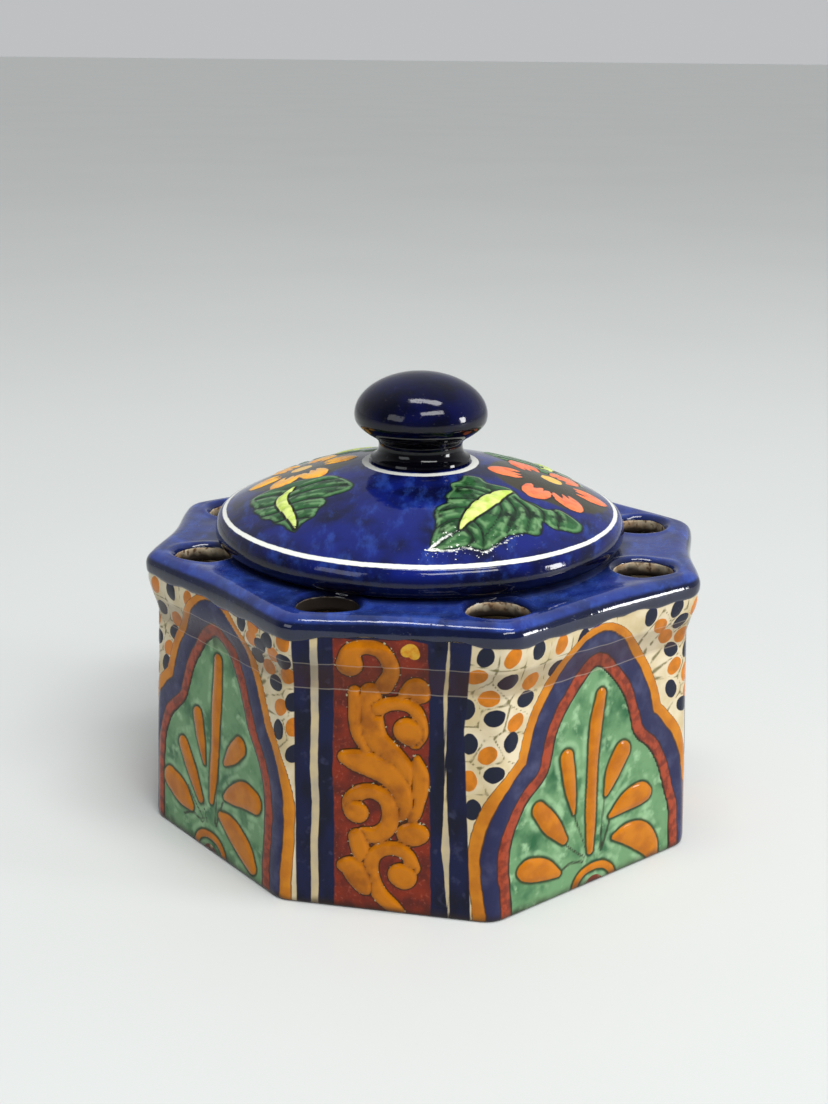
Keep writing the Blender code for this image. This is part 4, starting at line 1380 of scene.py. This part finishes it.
def make_sun():
    """Even light from the front right that lights the floor alike everywhere and leaves no glint."""
    lamp = bpy.data.lights.new("soft_sun", "SUN")
    lamp.energy = SUN_STRENGTH
    lamp.angle = math.radians(SUN_SPREAD_DEG)
    light = bpy.data.objects.new("soft_sun", lamp)
    light.rotation_euler = Vector(SUN_WAY).to_track_quat("-Z", "Y").to_euler()
    light.visible_glossy = False
    bpy.context.scene.collection.objects.link(light)


def make_camera():
    """The camera at the fitted viewpoint."""
    azimuth, elevation = math.radians(CAMERA_AZIMUTH), math.radians(CAMERA_ELEVATION)
    level = math.cos(elevation)
    back = Vector((math.sin(azimuth) * level, -math.cos(azimuth) * level, math.sin(elevation)))
    lens = bpy.data.cameras.new("camera")
    lens.lens = LENS_MM
    lens.sensor_width = 36.0
    camera = bpy.data.objects.new("camera", lens)
    camera.location = (Vector(LOOK_AT) + back * CAMERA_DISTANCE) * MM
    camera.rotation_mode = "QUATERNION"
    roll = Quaternion((0, 0, 1), math.radians(CAMERA_ROLL))
    camera.rotation_quaternion = (-back).to_track_quat("-Z", "Y") @ roll
    bpy.context.scene.collection.objects.link(camera)
    bpy.context.scene.camera = camera


def install(piece, body, node):
    """Puts a piece on its body, in the place of its CAD node, which it hides."""
    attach(piece, body)
    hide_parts(node)


def build():
    """Makes every visible piece of the jar, the floor, the light and the camera."""
    clay = make_clay()
    inner = make_inner_glaze()
    install(make_wall(make_wall_glaze(), inner), "pot", "body_wall")
    install(make_base(clay), "pot", "base_slab")
    install(make_deck(make_deck_glaze()), "pot", "top_deck")
    install(make_lid(make_lid_glaze(), inner), "lid", "lid_dome")
    install(make_flange(clay), "lid", "lid_flange")
    install(make_knob(make_knob_glaze()), "lid", "lid_knob")
    make_floor()
    make_world()
    make_light("key", place=(600, -900, 1280), size=(1000, 300), power=10.0)
    make_light("ceiling", place=(200, -120, 1400), size=(900, 220), power=7.0, aim_at=(200, 0, 70))
    make_light("window", place=(1500, -180, 330), size=(260, 420), power=8.0)
    make_light("fill", place=(-900, -1100, 700), size=(700, 500), power=2.5, colour=(0.95, 0.98, 1.0))
    make_sun()
    make_camera()
    bpy.context.scene.view_settings.view_transform = "Standard"


build()
